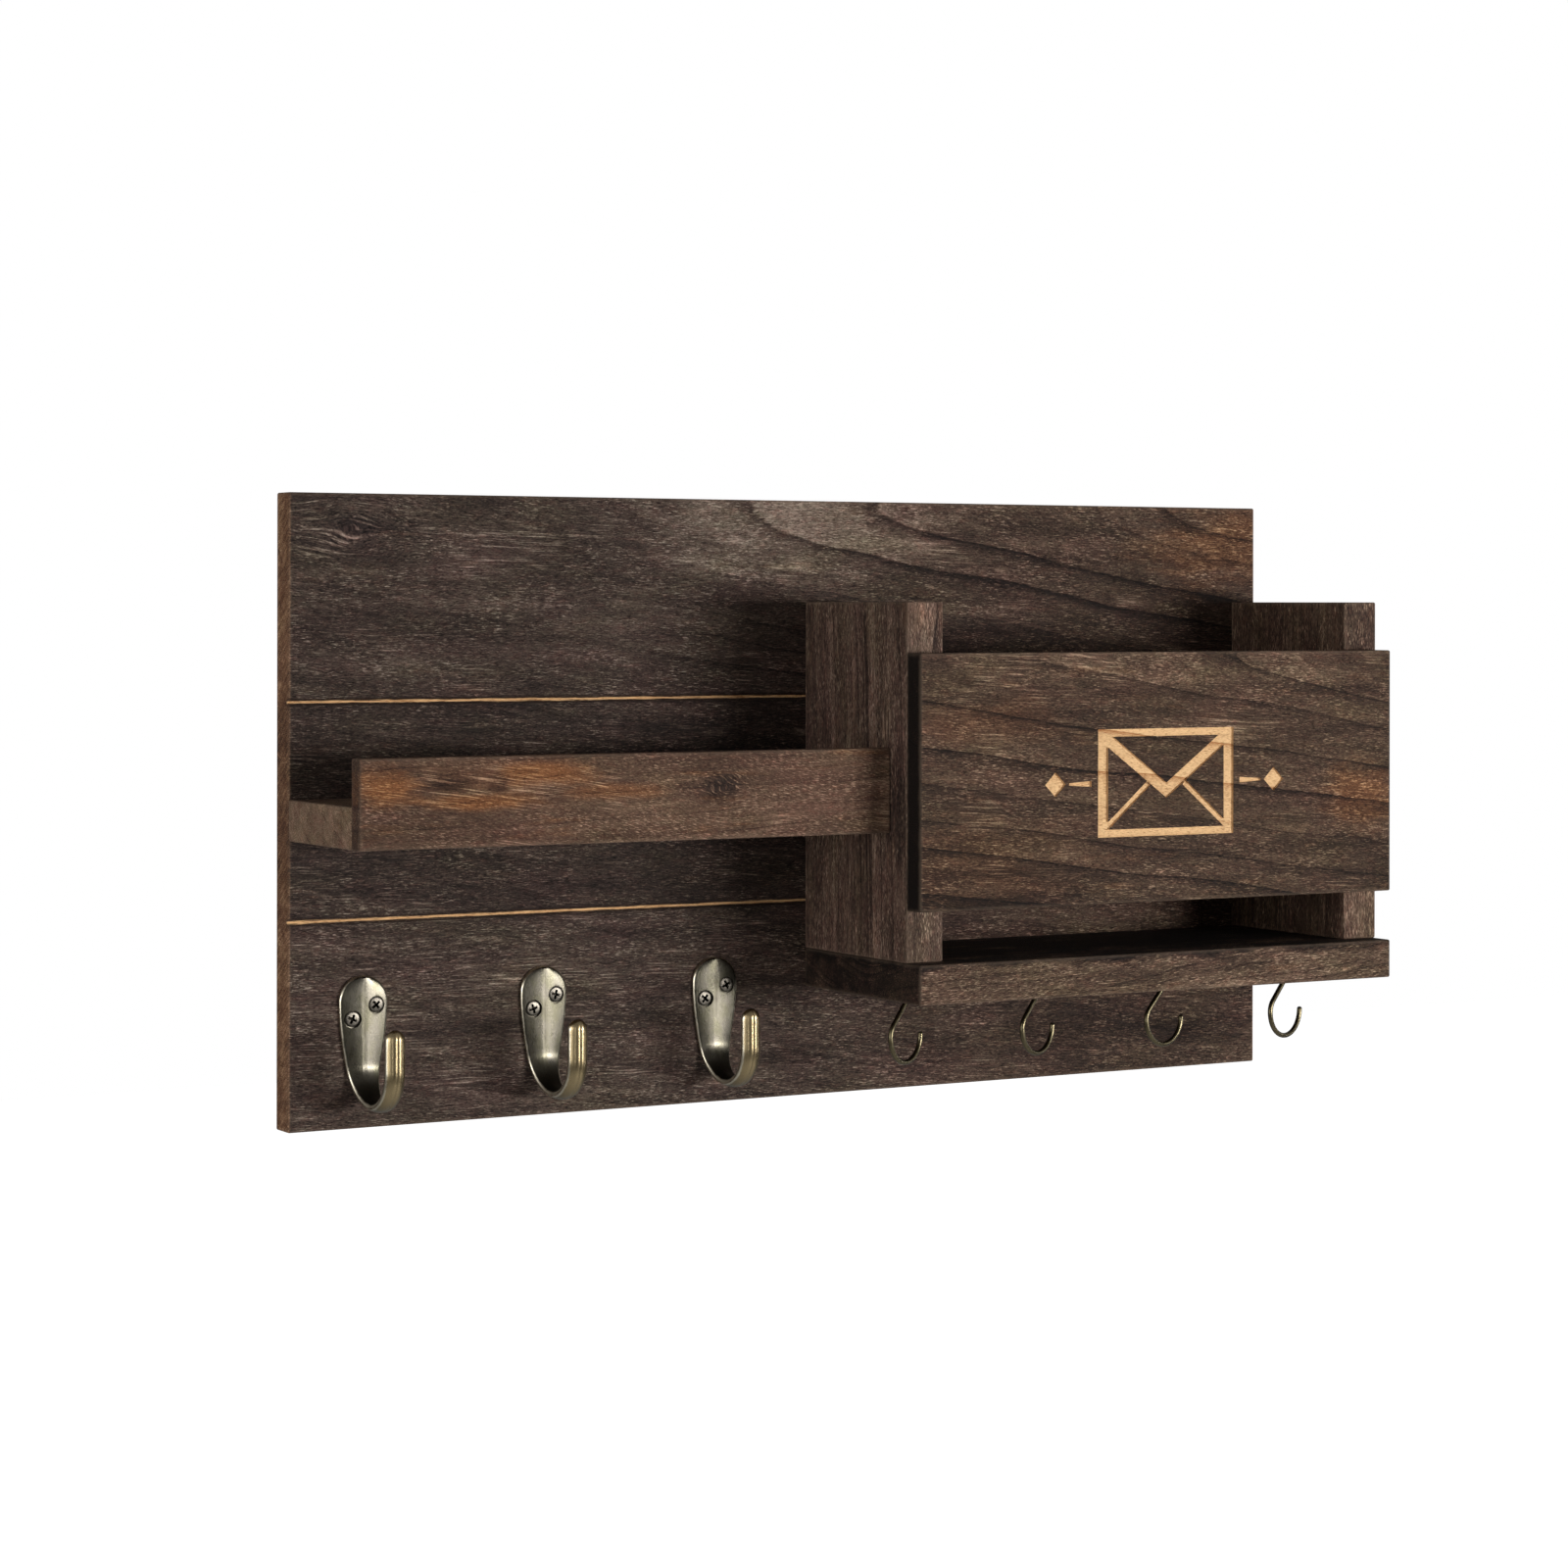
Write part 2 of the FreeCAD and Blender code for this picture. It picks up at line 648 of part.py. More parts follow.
def hook_section(along, length):
    """The six-sided section of a coat hook at a distance along its back."""
    plate = d.hook_plate_length.number
    radius = d.hook_bend_radius.number
    turn = min(max(along - plate, 0.0), math.pi * radius) / radius
    beyond = max(along - plate - math.pi * radius, 0.0)
    out = radius * (1.0 - math.cos(turn))
    down = min(along, plate) + radius * math.sin(turn) - beyond
    back = Vector(0, -out, -down)
    inward = Vector(0, -math.cos(turn), math.sin(turn))
    width = hook_half_width(along, length)
    side = Vector(width, 0, 0)
    full = min(width / d.hook_prong_half_width.number, 1.0)
    edge = d.hook_edge.number * (EDGE_AT_TIP + (1.0 - EDGE_AT_TIP) * full)
    inner = d.hook_plate_ridge.number * full
    outer = d.hook_prong_ridge.number * full * (1.0 - math.cos(turn)) / 2
    corners = [
        back - side,
        back - side + inward * edge,
        back + inward * (edge + inner),
        back + side + inward * edge,
        back + side,
        back - inward * outer,
    ]
    return Part.makePolygon(corners + corners[:1])


def hook_casting():
    """The body of a coat hook, lofted from its top, round its bend, to the tip of its prong."""
    plate = d.hook_plate_half_width.number
    prong = d.hook_prong_half_width.number
    straight = d.hook_plate_length.number
    bend = math.pi * d.hook_bend_radius.number
    length = straight + bend + d.hook_prong_length.number
    top = [plate * (1.0 - math.cos(math.radians(angle))) for angle in TOP_ANGLES]
    shank = [plate + (straight - plate) * i / SHANK_STEPS for i in range(SHANK_STEPS + 1)]
    curl = [straight + bend * i / CURL_STEPS for i in range(CURL_STEPS + 1)]
    tail = [length - prong]
    tip = [length - prong * (1.0 - math.sin(math.radians(angle))) for angle in TIP_ANGLES]
    lofts = [
        Part.makeLoft([hook_section(along, length) for along in stretch], True, False)
        for stretch in (top + shank, curl + tail + tip)
    ]
    return lofts[0].fuse(lofts[1])


def make_coat_hook(name, x, seats):
    """A one-piece casting: a teardrop plate that curls forward into an upright prong."""
    casting = doc.addObject("Part::Feature", f"{name}_casting")
    casting.Shape = hook_casting()
    place(casting, x, -d.board_thickness, hook_top)
    hook = doc.addObject("Part::Cut", name)
    hook.Label = name
    hook.Base = casting
    hook.Tool = seats
    return hook


def make_hanger_plate(name, x):
    """A steel keyhole plate with round ends and two countersunk screw holes."""
    plate = new_body(name)
    half_straight = d.hanger_straight / 2
    low, high = hanger_z - half_straight, hanger_z + half_straight
    stadium(plate, "Pad", name, x, d.hanger_half_width, low, high, d.hanger_thickness, ZERO, False)
    entry = hanger_z - d.keyhole_drop
    bore(plate, f"{name}_entry", [(x, entry)], d.keyhole_radius, d.hanger_thickness, ZERO)
    end = entry + d.keyhole_travel
    slot = d.keyhole_slot_radius
    bore(plate, f"{name}_slot_end", [(x, end)], slot, d.hanger_thickness, ZERO)
    sketch = attach(plate, f"{name}_slot_outline", "XZ_Plane", ZERO)
    draw_rectangle(sketch, x - slot, x + slot, entry, end)
    extrude(plate, "Pocket", f"{name}_slot", sketch, d.hanger_thickness, True)
    seats = [(x, hanger_z + z) for z in (-d.hanger_screw_offset, d.hanger_screw_offset)]
    shank = d.hanger_screw_radius + d.fit_gap
    head = d.hanger_screw_head + d.fit_gap
    countersink(plate, f"{name}_screw_holes", seats, shank, head, d.hanger_thickness, ZERO)
    return plate


def at_depth(spots, distance):
    """Places on a plane in front of the wall, from their X and Z."""
    return [(x, -distance, z) for x, z in spots]


def make_all_fasteners():
    """Every group of equal screws and pins."""
    wood = screw_profile(
        "wall_screw_profile", d.screw_radius, d.screw_head, d.screw_point, wall_screw_length
    )
    upright = screw_profile(
        "upright_screw_profile", d.screw_radius, d.screw_head, d.screw_point, upright_screw_length
    )
    small = screw_profile(
        "hanger_screw_profile",
        d.hanger_screw_radius,
        d.hanger_screw_head,
        d.hanger_screw_point,
        d.hanger_screw_length,
    )
    hook = screw_profile(
        "hook_screw_profile",
        d.hook_screw_radius,
        d.hook_screw_head,
        d.hook_screw_point,
        hook_screw_bite + d.hook_screw_seat,
    )
    panel_pin = pin_profile(
        "panel_pin_profile", d.pin_radius, d.front_thickness - d.pin_set + d.pin_bite
    )
    rail_pin = pin_profile(
        "rail_pin_profile", d.pin_radius, d.rail_thickness - d.pin_set + d.pin_bite
    )
    panel_face = front_back + d.front_thickness - d.pin_set
    rail_face = rail_back + d.rail_thickness - d.pin_set
    hook_face = d.board_thickness + d.hook_screw_seat
    hanger_spots = [
        (x, hanger_z + z) for x in hanger_x for z in (-d.hanger_screw_offset, d.hanger_screw_offset)
    ]
    feet = [(x, y, floor_bottom) for x in upright_screw_x for y in upright_screw_y]
    backs = side_screws + floor_screws + shelf_screws
    return [
        make_fasteners("back_screws", wood, at_depth(backs, ZERO), TOWARDS_WALL),
        make_fasteners("box_bottom_screws", upright, feet, UPSIDE_DOWN),
        make_fasteners("hanger_screws", small, at_depth(hanger_spots, ZERO), TOWARDS_WALL),
        make_fasteners("coat_hook_screws", hook, at_depth(hook_screws, hook_face), TOWARDS_FRONT),
        make_fasteners("front_panel_pins", panel_pin, at_depth(front_pins, panel_face), TOWARDS_FRONT),
        make_fasteners("rail_pins", rail_pin, at_depth(rail_pins, rail_face), TOWARDS_FRONT),
    ]


def hook_seats():
    """What the screws need cleared in the coat hooks: their shanks, seats and the way in."""
    profile = doc.addObject("Sketcher::SketchObject", "hook_seat_profile")
    profile.Placement = Placement(Vector(), Rotation(Vector(1, 0, 0), 90))
    shank = d.hook_screw_radius + d.fit_gap
    head = d.hook_screw_head + d.fit_gap
    reach = d.hook_screw_seat * 2
    draw_polygon(
        profile,
        [(ZERO, reach), (head, reach), (head, ZERO), (shank, shank - head), (shank, -reach), (ZERO, -reach)],
    )
    face = d.board_thickness + d.hook_screw_seat
    return make_fasteners("hook_seats", profile, at_depth(hook_screws, face), TOWARDS_FRONT)


def faults(thing):
    """What is wrong with an object after the last recompute."""
    return [state for state in thing.State if state in ("Invalid", "Error")]


nodes = [make_back_board()]
nodes += make_key_shelf()
nodes.append(
    make_box_side(
        "box_side_left", box_left, box_left + d.side_thickness, side_screw_x[0], upright_screw_x[0]
    )
)
nodes.append(
    make_box_side(
        "box_side_right", box_right - d.side_thickness, box_right, side_screw_x[1], upright_screw_x[1]
    )
)
nodes.append(make_box_bottom())
nodes.append(make_front_panel())
seats = hook_seats()
for name, x in zip(("left", "middle", "right"), hook_x):
    nodes.append(make_coat_hook(f"coat_hook_{name}", x, seats))
for number, (x, turn) in enumerate(zip(cup_x, cup_angles), start=1):
    nodes.append(make_cup_hook(f"cup_hook_{number}", x, turn))
for name, x in zip(("left", "right"), hanger_x):
    nodes.append(make_hanger_plate(f"hanger_plate_{name}", x))
nodes += make_all_fasteners()

doc.recompute()
for thing in doc.Objects:
    if faults(thing):
        raise RuntimeError(f"{thing.Label} failed: {thing.State}")
for node in nodes:
    if node.Shape.isNull() or not node.Shape.isValid():
        raise RuntimeError(f"{node.Label} has no sound shape")

os.makedirs("parts", exist_ok=True)
for node in nodes:
    node.Shape.exportStep(f"parts/{node.Label}.step")
    print(f"{node.Label}: {len(node.Shape.Solids)} solids, {node.Shape.Volume:.0f} mm3")
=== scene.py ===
"""Dresses the wall mail organizer: torched wood boards, cast coat hooks, wire cup hooks and their screws."""

import math
from itertools import count

import bmesh
import bpy
import numpy as np
from mathutils import Euler, Matrix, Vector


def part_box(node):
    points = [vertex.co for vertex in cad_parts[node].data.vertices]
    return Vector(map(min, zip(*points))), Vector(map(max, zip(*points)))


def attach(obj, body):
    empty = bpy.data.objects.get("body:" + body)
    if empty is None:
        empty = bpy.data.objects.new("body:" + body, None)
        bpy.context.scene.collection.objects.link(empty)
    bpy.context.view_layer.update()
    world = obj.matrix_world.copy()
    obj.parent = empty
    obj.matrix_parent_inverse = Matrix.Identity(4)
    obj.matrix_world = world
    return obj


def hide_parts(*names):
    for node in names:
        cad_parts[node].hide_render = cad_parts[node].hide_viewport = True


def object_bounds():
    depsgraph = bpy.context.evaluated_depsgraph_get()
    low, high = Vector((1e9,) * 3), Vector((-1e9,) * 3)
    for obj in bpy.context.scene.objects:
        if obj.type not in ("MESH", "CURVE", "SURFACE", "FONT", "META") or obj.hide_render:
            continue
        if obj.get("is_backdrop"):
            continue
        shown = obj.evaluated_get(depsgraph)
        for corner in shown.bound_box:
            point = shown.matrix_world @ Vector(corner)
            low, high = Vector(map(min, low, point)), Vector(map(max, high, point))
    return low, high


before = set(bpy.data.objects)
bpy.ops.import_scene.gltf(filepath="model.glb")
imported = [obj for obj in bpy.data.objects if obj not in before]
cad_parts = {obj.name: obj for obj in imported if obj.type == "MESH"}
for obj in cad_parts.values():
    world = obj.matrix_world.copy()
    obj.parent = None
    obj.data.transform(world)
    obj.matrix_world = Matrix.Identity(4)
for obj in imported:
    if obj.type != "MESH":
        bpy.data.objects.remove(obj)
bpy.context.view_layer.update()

bl_info = {
    "name": "Wall mail organizer",
    "version": (1, 0, 0),
    "blender": (4, 5, 0),
    "location": "3D View > Sidebar > Mail organizer",
    "description": "Builds the finishes and fittings of a wall mail organizer around its CAD frame",
    "category": "Object",
}

MM = 0.001
TAB = "Mail organizer"
BOARD_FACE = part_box("back_board")[0].y
PANEL_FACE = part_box("box_front_panel")[0].y
GROOVE_Z = 38.5 * MM
GROOVE_DEPTH = 1.3 * MM
# How far a cutter stands out of the face that it cuts.
PROUD = 2.0 * MM
# Turns of the screw slots and of the cup hooks about their own middle lines, in degrees.
SLOT_TURNS = (24.0, 50.0, 71.0, 12.0, 38.0, 64.0)
FIRST_BACK_SLOT, NEXT_BACK_SLOT = 24.0, 47.0
CUP_TURNS = (24.0, 21.0, 12.0, 17.0)
# Width and height of each lamp, in metres.
LAMP_SIZES = {"key": (0.9, 0.3), "fill": (1.1, 0.9), "left_strip": (0.07, 1.0), "right_strip": (0.07, 1.0)}
WHITE = (1.0, 1.0, 1.0, 1.0)
# Node groups that have been built, by the name of the function that builds them.
GROUPS = {}


def length(name, description, millimetres):
    """A length property, given in millimetres and kept in metres."""
    return bpy.props.FloatProperty(
        name=name, description=description, default=millimetres * MM, unit="LENGTH", precision=5
    )


def colour(name, description, red, green, blue):
    """A colour property, given as display values from 0 to 255."""
    return bpy.props.FloatVectorProperty(
        name=name,
        description=description,
        default=(red / 255, green / 255, blue / 255),
        subtype="COLOR_GAMMA",
        min=0.0,
        max=1.0,
    )


def share(name, description, default):
    """A plain share from 0 to 1."""
    return bpy.props.FloatProperty(
        name=name, description=description, default=default, min=0.0, max=1.0, subtype="FACTOR"
    )


def power(name, description, watts):
    """A lamp's power."""
    return bpy.props.FloatProperty(name=name, description=description, default=watts, unit="POWER")


def angle(name, description, degrees):
    """An angle property, given in degrees."""
    return bpy.props.FloatProperty(
        name=name, description=description, default=math.radians(degrees), unit="ROTATION"
    )


def spot(name, description, x, y, z):
    """A place in the frame, in metres."""
    return bpy.props.FloatVectorProperty(
        name=name, description=description, default=(x, y, z), subtype="TRANSLATION", unit="LENGTH"
    )


class WoodSettings(bpy.types.PropertyGroup):
    """Colours and texture sizes of the torched and brushed wood."""

    burnt: colour("Burnt", "Deepest colour, in pores and on ring lines", 17, 12, 10)
    dark: colour("Dark", "Torched wood between the fibres", 43, 33, 28)
    middle: colour("Middle", "Average of the torched wood", 75, 60, 50)
    brushed: colour("Brushed", "Fibres that the brush has cleaned", 112, 95, 80)
    pale: colour("Pale", "Lightest brushed fibres", 168, 148, 128)
    singed: colour("Singed", "Dark fibres of a warm patch", 74, 46, 30)
    ember: colour("Ember", "Warm patches that the flame has missed", 128, 82, 50)
    bare: colour("Bare", "Lightest fibres of a warm patch", 214, 166, 116)
    cut: colour("Cut wood", "Light wood laid open by a cut", 229, 190, 141)
    cut_grain: colour("Cut grain", "Grain lines in a cut", 168, 116, 72)
    fibre_length: length("Fibre length", "Length of one brushed fibre", 2.5)
    fibre_width: length("Fibre width", "Width of one brushed fibre", 0.30)
    relief: length("Relief", "Depth of the brushed relief", 0.16)
    worn_edge: length("Worn edge", "How far wear reaches from a board's edge", 1.6)


class MotifSettings(bpy.types.PropertyGroup):
    """The plain envelope cut into the front panel."""

    centre_x: length("Centre X", "Middle of the envelope along the panel", 107.5)
    centre_z: length("Centre Z", "Middle of the envelope up the panel", 7.0)
    width: length("Width", "Envelope, outside", 62.0)
    height: length("Height", "Envelope, outside", 40.0)
    stroke: length("Stroke", "Broad lines of the envelope", 4.6)
    hairline: length("Hairline", "Thin lines of the envelope", 2.2)
    flap_drop: length("Flap drop", "Upper edge to the point of the flap", 23.0)
    diamond: length("Diamond", "Half the length of a side ornament's diamond", 4.6)
    wing: length("Wing", "Whole width with the side ornaments", 109.0)
    gap: length("Gap", "Envelope to the stroke of a side ornament", 2.8)
    depth: length("Depth", "Depth of the cut", 0.8)


class CoatHookSettings(bpy.types.PropertyGroup):
    """The cast coat hooks."""

    first_x: length("First X", "Middle of the first coat hook", -182.0)
    pitch: length("Pitch", "Coat hook to coat hook", 70.8)
    top_z: length("Top Z", "Top of the coat hooks", -58.0)
    plate_half_width: length("Plate half width", "Round upper end", 9.2)
    plate_length: length("Plate length", "Top to the start of the bend", 31.2)
    bend_radius: length("Bend radius", "Underside of the bend", 14.4)
    prong_length: length("Prong length", "End of the bend to the tip", 14.5)
    prong_half_width: length("Prong half width", "At the bend and the prong", 3.75)
    taper_length: length("Taper length", "Stretch over which the casting narrows", 47.0)
    edge: length("Edge", "Thickness at the edges", 1.6)
    plate_ridge: length("Plate ridge", "Ridge along the front of the plate", 1.0)
    prong_ridge: length("Prong ridge", "Ridge along the outside of the prong", 2.1)
    prong_lobe: length("Prong lobe", "Swell of the prong's outside on each side of its ridge", 0.65)
    crease: length("Crease", "Depth of the fine line along the plate's ridge", 0.07)
    crease_width: length("Crease width", "Half the width of that line", 0.28)
    seam_width: length("Seam width", "Half the width of the line on the prong's outside", 0.32)
    screw_side: length("Screw side", "Screws from the middle line", 4.5)
    screw_high: length("Screw high", "Right screw below the top", 10.5)
    screw_low: length("Screw low", "Left screw below the top", 15.2)
    seat_radius: length("Seat radius", "Ring that is cut round a screw's head", 3.15)
    seat_floor: length("Seat floor", "Outer edge of the seat's floor above the board", 1.4)
    seat_lip: length("Seat lip", "Inner edge of the seat's floor above the board", 1.2)
    hole_radius: length("Hole radius", "Hole for a screw's shank", 1.6)
    hollow: colour("Hollow", "Dark plating in the hollows", 46, 42, 35)
    plating: colour("Plating", "Brushed antique plating", 79, 75, 67)
    tarnish: colour("Tarnish", "Cloudy tarnish on the plating", 72, 69, 57)
    # Also painted along the rims of the coat hooks as their highlight.
    polish_and_highlight: colour("Polished", "Worn ridges and rims", 196, 188, 168)
    gold: colour("Gold", "Warm brass on the prong", 150, 133, 100)


class ScrewSettings(bpy.types.PropertyGroup):
    """The cross-slot screws of the coat hooks and of the back."""

    head_radius: length("Head radius", "Coat hook screw", 2.75)
    shank: length("Shank", "Radius of a coat hook screw's shank", 1.35)
    point: length("Point", "Pointed end of a coat hook screw", 2.4)
    dome: length("Dome", "Rise of the head's face", 0.12)
    bevel: length("Bevel", "Bevel at the edge of a head's face", 0.08)
    rim: length("Rim", "Edge of a head, from its face to its cone", 0.28)
    slot_width: length("Slot width", "One arm of the cross", 0.95)
    slot_reach: length("Slot reach", "Middle of the cross to the end of an arm", 1.75)
    slot_depth: length("Slot depth", "Depth of the cross", 1.3)
    wood_head: length("Wood screw head", "Radius of a wood screw's head", 3.5)
    wood_shank: length("Wood screw shank", "Radius of a wood screw's shank", 1.75)
    wood_point: length("Wood screw point", "Pointed end of a wood screw", 4.0)
    hanger_head: length("Hanger screw head", "Radius of a hanger screw's head", 2.4)
    hanger_shank: length("Hanger screw shank", "Radius of a hanger screw's shank", 1.2)
    hanger_point: length("Hanger screw point", "Pointed end of a hanger screw", 2.0)
    bronze: colour("Bronze", "Dark plated screw", 70, 66, 60)
    zinc: colour("Zinc", "Zinc plated steel", 176, 178, 180)


class CupHookSettings(bpy.types.PropertyGroup):
    """The wire cup hooks."""

    margin: length("Margin", "Side of the mail box to the nearest cup hook", 19.5)
    y: length("Y", "Middle line of the cup hooks", -51.75)
    wire_radius: length("Wire radius", "Wire of a cup hook", 0.98)
    loop_radius: length("Loop radius", "Loop, to the middle of its wire", 9.85)
    loop_drop: length("Loop drop", "Middle of the loop below the bottom board", 15.7)
    shoulder: share("Shoulder", "Radius of the shoulder as a share of the loop's", 0.633)
    neck: share("Neck", "Radius of the neck as a share of the loop's", 0.4)
    lean: angle("Lean", "Slope of the straight stretch between shoulder and neck", 45.0)
    shank: length("Shank", "Screwed into the bottom board", 12.0)
    point: length("Point", "Pointed end of the shank", 3.0)
    bronze: colour("Bronze", "Dark plated wire", 94, 86, 66)
    worn: colour("Worn", "Wire where hands have rubbed it", 152, 142, 112)


class StageSettings(bpy.types.PropertyGroup):
    """Camera, lights and floor."""

    camera: spot("Camera", "Where the camera stands", -0.713130, -1.224497, 0.073449)
    yaw: angle("Yaw", "Camera turned right from square on", 30.082)
    roll: angle("Roll", "Camera rolled", 0.0745)
    lens: bpy.props.FloatProperty(
        name="Lens", description="Focal length on a 36 mm sensor", default=85.651, unit="CAMERA"
    )
    rise: bpy.props.FloatProperty(
        name="Rise", description="Upward shift of the picture, as a share of its width", default=-0.1154
    )
    key: spot("Key light", "Middle of the key light", 1.03, -1.75, -0.02)
    key_power: power("Key power", "Key light", 40.0)
    fill: spot("Fill light", "Middle of the fill light", -2.15, -0.55, 0.15)
    fill_power: power("Fill power", "Fill light", 22.0)
    left_strip: spot("Left strip", "Narrow light that metal mirrors on its left", -1.25, -1.60, 0.0)
    right_strip: spot("Right strip", "Narrow light that metal mirrors on its right", 1.90, -0.30, -0.10)
    strip_power: power("Strip power", "Each of the two narrow lights", 2.5)
    ambient: share("Ambient", "Strength of the world's light on the object", 0.08)
    mirrored: share("Mirrored", "Strength of the world as metal mirrors it", 0.34)
    floor_drop: length("Floor drop", "Floor below the middle of the back board", 1200.0)
    floor_reach: length("Floor reach", "Half the width of the floor", 8000.0)


def linear(display):
    """Scene values of a display colour, with full alpha."""
    values = np.asarray(display, float)
    low = values / 12.92
    high = ((values + 0.055) / 1.055) ** 2.4
    return (*np.where(values <= 0.04045, low, high).tolist(), 1.0)


# Meshes


def add_object(name, data):
    """A new object in the scene."""
    thing = bpy.data.objects.new(name, data)
    bpy.context.scene.collection.objects.link(thing)
    return thing


def points_of(mesh):
    """The places of a mesh's points, one row each."""
    flat = np.empty(len(mesh.vertices) * 3)
    mesh.vertices.foreach_get("co", flat)
    return flat.reshape(-1, 3)


def outward(mesh):
    """Merges points that coincide, drops faces without area and turns every face outwards."""
    work = bmesh.new()
    work.from_mesh(mesh)
    bmesh.ops.remove_doubles(work, verts=work.verts, dist=1e-7)
    bmesh.ops.dissolve_degenerate(work, edges=work.edges, dist=1e-8)
    bmesh.ops.recalc_face_normals(work, faces=work.faces)
    work.to_mesh(mesh)
    work.free()
    return mesh


def skin(name, rings):
    """A closed skin over rings of points: quads join each ring to the next, and both ends are capped."""
    rows, columns = rings.shape[:2]
    index = np.arange(rows * columns).reshape(rows, columns)
    beside = np.roll(index, -1, axis=1)
    quads = np.stack([index[:-1], beside[:-1], beside[1:], index[1:]], axis=-1).reshape(-1, 4)
    faces = quads.tolist() + [index[0][::-1].tolist(), index[-1].tolist()]
    mesh = bpy.data.meshes.new(name)
    mesh.from_pydata(rings.reshape(-1, 3).tolist(), [], faces)
    return outward(mesh)


def copies(name, mesh, moves):
    """One mesh that repeats another: a point p becomes turn times p plus shift for each move."""
    points = points_of(mesh)
    faces = [tuple(polygon.vertices) for polygon in mesh.polygons]
    every = np.concatenate([points @ np.asarray(turn).T + np.asarray(shift) for turn, shift in moves])
    starts = range(0, len(every), len(points))
    joined = [tuple(corner + start for corner in face) for start in starts for face in faces]
    result = bpy.data.meshes.new(name)
    result.from_pydata(every.tolist(), [], joined)
    return result


def add_piece(name, mesh, material, replaced=(), sharp=None):
    """A finished piece: it rides on the root, takes its finish's slot and stands for its CAD nodes."""
    piece = add_object(name, mesh)
    mesh.materials.clear()
    mesh.materials.append(material)
    mesh.polygons.foreach_set("use_smooth", np.full(len(mesh.polygons), sharp is not None))
    if sharp is not None:
        mesh.set_sharp_from_angle(angle=math.radians(sharp))
    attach(piece, "root")
    if replaced:
        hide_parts(*replaced)
    return piece


def carve(mesh, cutter):
    """The mesh less the cutter, worked out with an exact Boolean."""
    solid, tool = add_object("solid", mesh), add_object("tool", cutter)
    cut = solid.modifiers.new("carve", "BOOLEAN")
    cut.operation = "DIFFERENCE"
    cut.solver = "EXACT"
    cut.use_self = True
    cut.object = tool
    bpy.context.view_layer.update()
    result = bpy.data.meshes.new_from_object(solid.evaluated_get(bpy.context.evaluated_depsgraph_get()))
    result.name = mesh.name
    for thing in (solid, tool):
        bpy.data.objects.remove(thing)
    for spare in (mesh, cutter):
        bpy.data.meshes.remove(spare)
    return result


def dress(node, material):
    """Gives a carried-over CAD node its material."""
    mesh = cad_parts[node].data
    mesh.materials.clear()
    mesh.materials.append(material)


# Shader nodes


class Tree:
    """Puts nodes into one tree: an input is given as a socket, a number or a tuple."""

    def __init__(self, tree):
        self.tree = tree

    def add(self, kind, inputs=None, **settings):
        """A node with its settings and inputs."""
        node = self.tree.nodes.new(kind)
        for name, value in settings.items():
            setattr(node, name, value)
        for key, value in (inputs or {}).items():
            if isinstance(value, bpy.types.NodeSocket):
                self.link(value, node.inputs[key])
            else:
                node.inputs[key].default_value = value
        return node

    def link(self, value, socket):
        """A link from a value to a node's input."""
        self.tree.links.new(value, socket)

    def math(self, operation, *values):
        """A Math node."""
        return self.add("ShaderNodeMath", dict(enumerate(values)), operation=operation).outputs[0]

    def times(self, first, second):
        """A product."""
        return self.math("MULTIPLY", first, second)

    def minus(self, first, second):
        """A difference."""
        return self.math("SUBTRACT", first, second)

    def total(self, *terms):
        """The sum of its terms: pairs of a value and its weight, bare sockets and plain numbers."""
        result = 0.0
        for term in terms:
            if isinstance(term, tuple):
                result = self.math("MULTIPLY_ADD", term[0], term[1], result)
            else:
                result = self.math("ADD", result, term)
        return result

    def vector(self, operation, *values):
        """A Vector Math node that gives a vector."""
        return self.add("ShaderNodeVectorMath", dict(enumerate(values)), operation=operation).outputs[0]

    def far(self, value):
        """The length of a vector."""
        return self.add("ShaderNodeVectorMath", {0: value}, operation="LENGTH").outputs["Value"]

    def parts(self, value):
        """The X, Y and Z of a vector."""
        return self.add("ShaderNodeSeparateXYZ", {0: value}).outputs

    def point(self, x, y, z):
        """A vector from its X, Y and Z."""
        return self.add("ShaderNodeCombineXYZ", {0: x, 1: y, 2: z}).outputs[0]

    def same(self, value):
        """A vector with one value along each axis."""
        return self.point(value, value, value)

    def noise(self, place, stretch, detail=2.0, roughness=0.5, shift=0.0):
        """Noise with features of the size that stretch gives along each axis."""
        scaled = self.vector("DIVIDE", place, stretch)
        moved = self.vector("ADD", scaled, (shift, shift * 1.7, shift * 0.6))
        inputs = {"Vector": moved, "Scale": 1.0, "Detail": detail, "Roughness": roughness}
        return self.add("ShaderNodeTexNoise", inputs).outputs[0]

    def band(self, value, low, high, start=0.0, end=1.0):
        """Rises smoothly from start to end while value goes from low to high."""
        inputs = {"Value": value, "From Min": low, "From Max": high, "To Min": start, "To Max": end}
        return self.add("ShaderNodeMapRange", inputs, interpolation_type="SMOOTHSTEP").outputs[0]

    def mix(self, factor, first, second, blend_type="MIX"):
        """A mix of two colours."""
        inputs = {0: factor, 6: first, 7: second}
        return self.add("ShaderNodeMix", inputs, data_type="RGBA", blend_type=blend_type).outputs[2]

    def ramp(self, value, stops):
        """Display colours along a value, each at its position."""
        node = self.add("ShaderNodeValToRGB", {0: value})
        elements = node.color_ramp.elements
        while len(elements) < len(stops):
            elements.new(0.5)
        for element, (position, tint) in zip(elements, stops.items()):
            element.position = position
            element.color = linear(tint)
        return node.outputs[0]

    def use(self, group, **inputs):
        """A node group's outputs, with inputs named as its sockets are, an underscore for a space."""
        named = {key.replace("_", " "): value for key, value in inputs.items()}
        return self.add("ShaderNodeGroup", named, node_tree=group).outputs


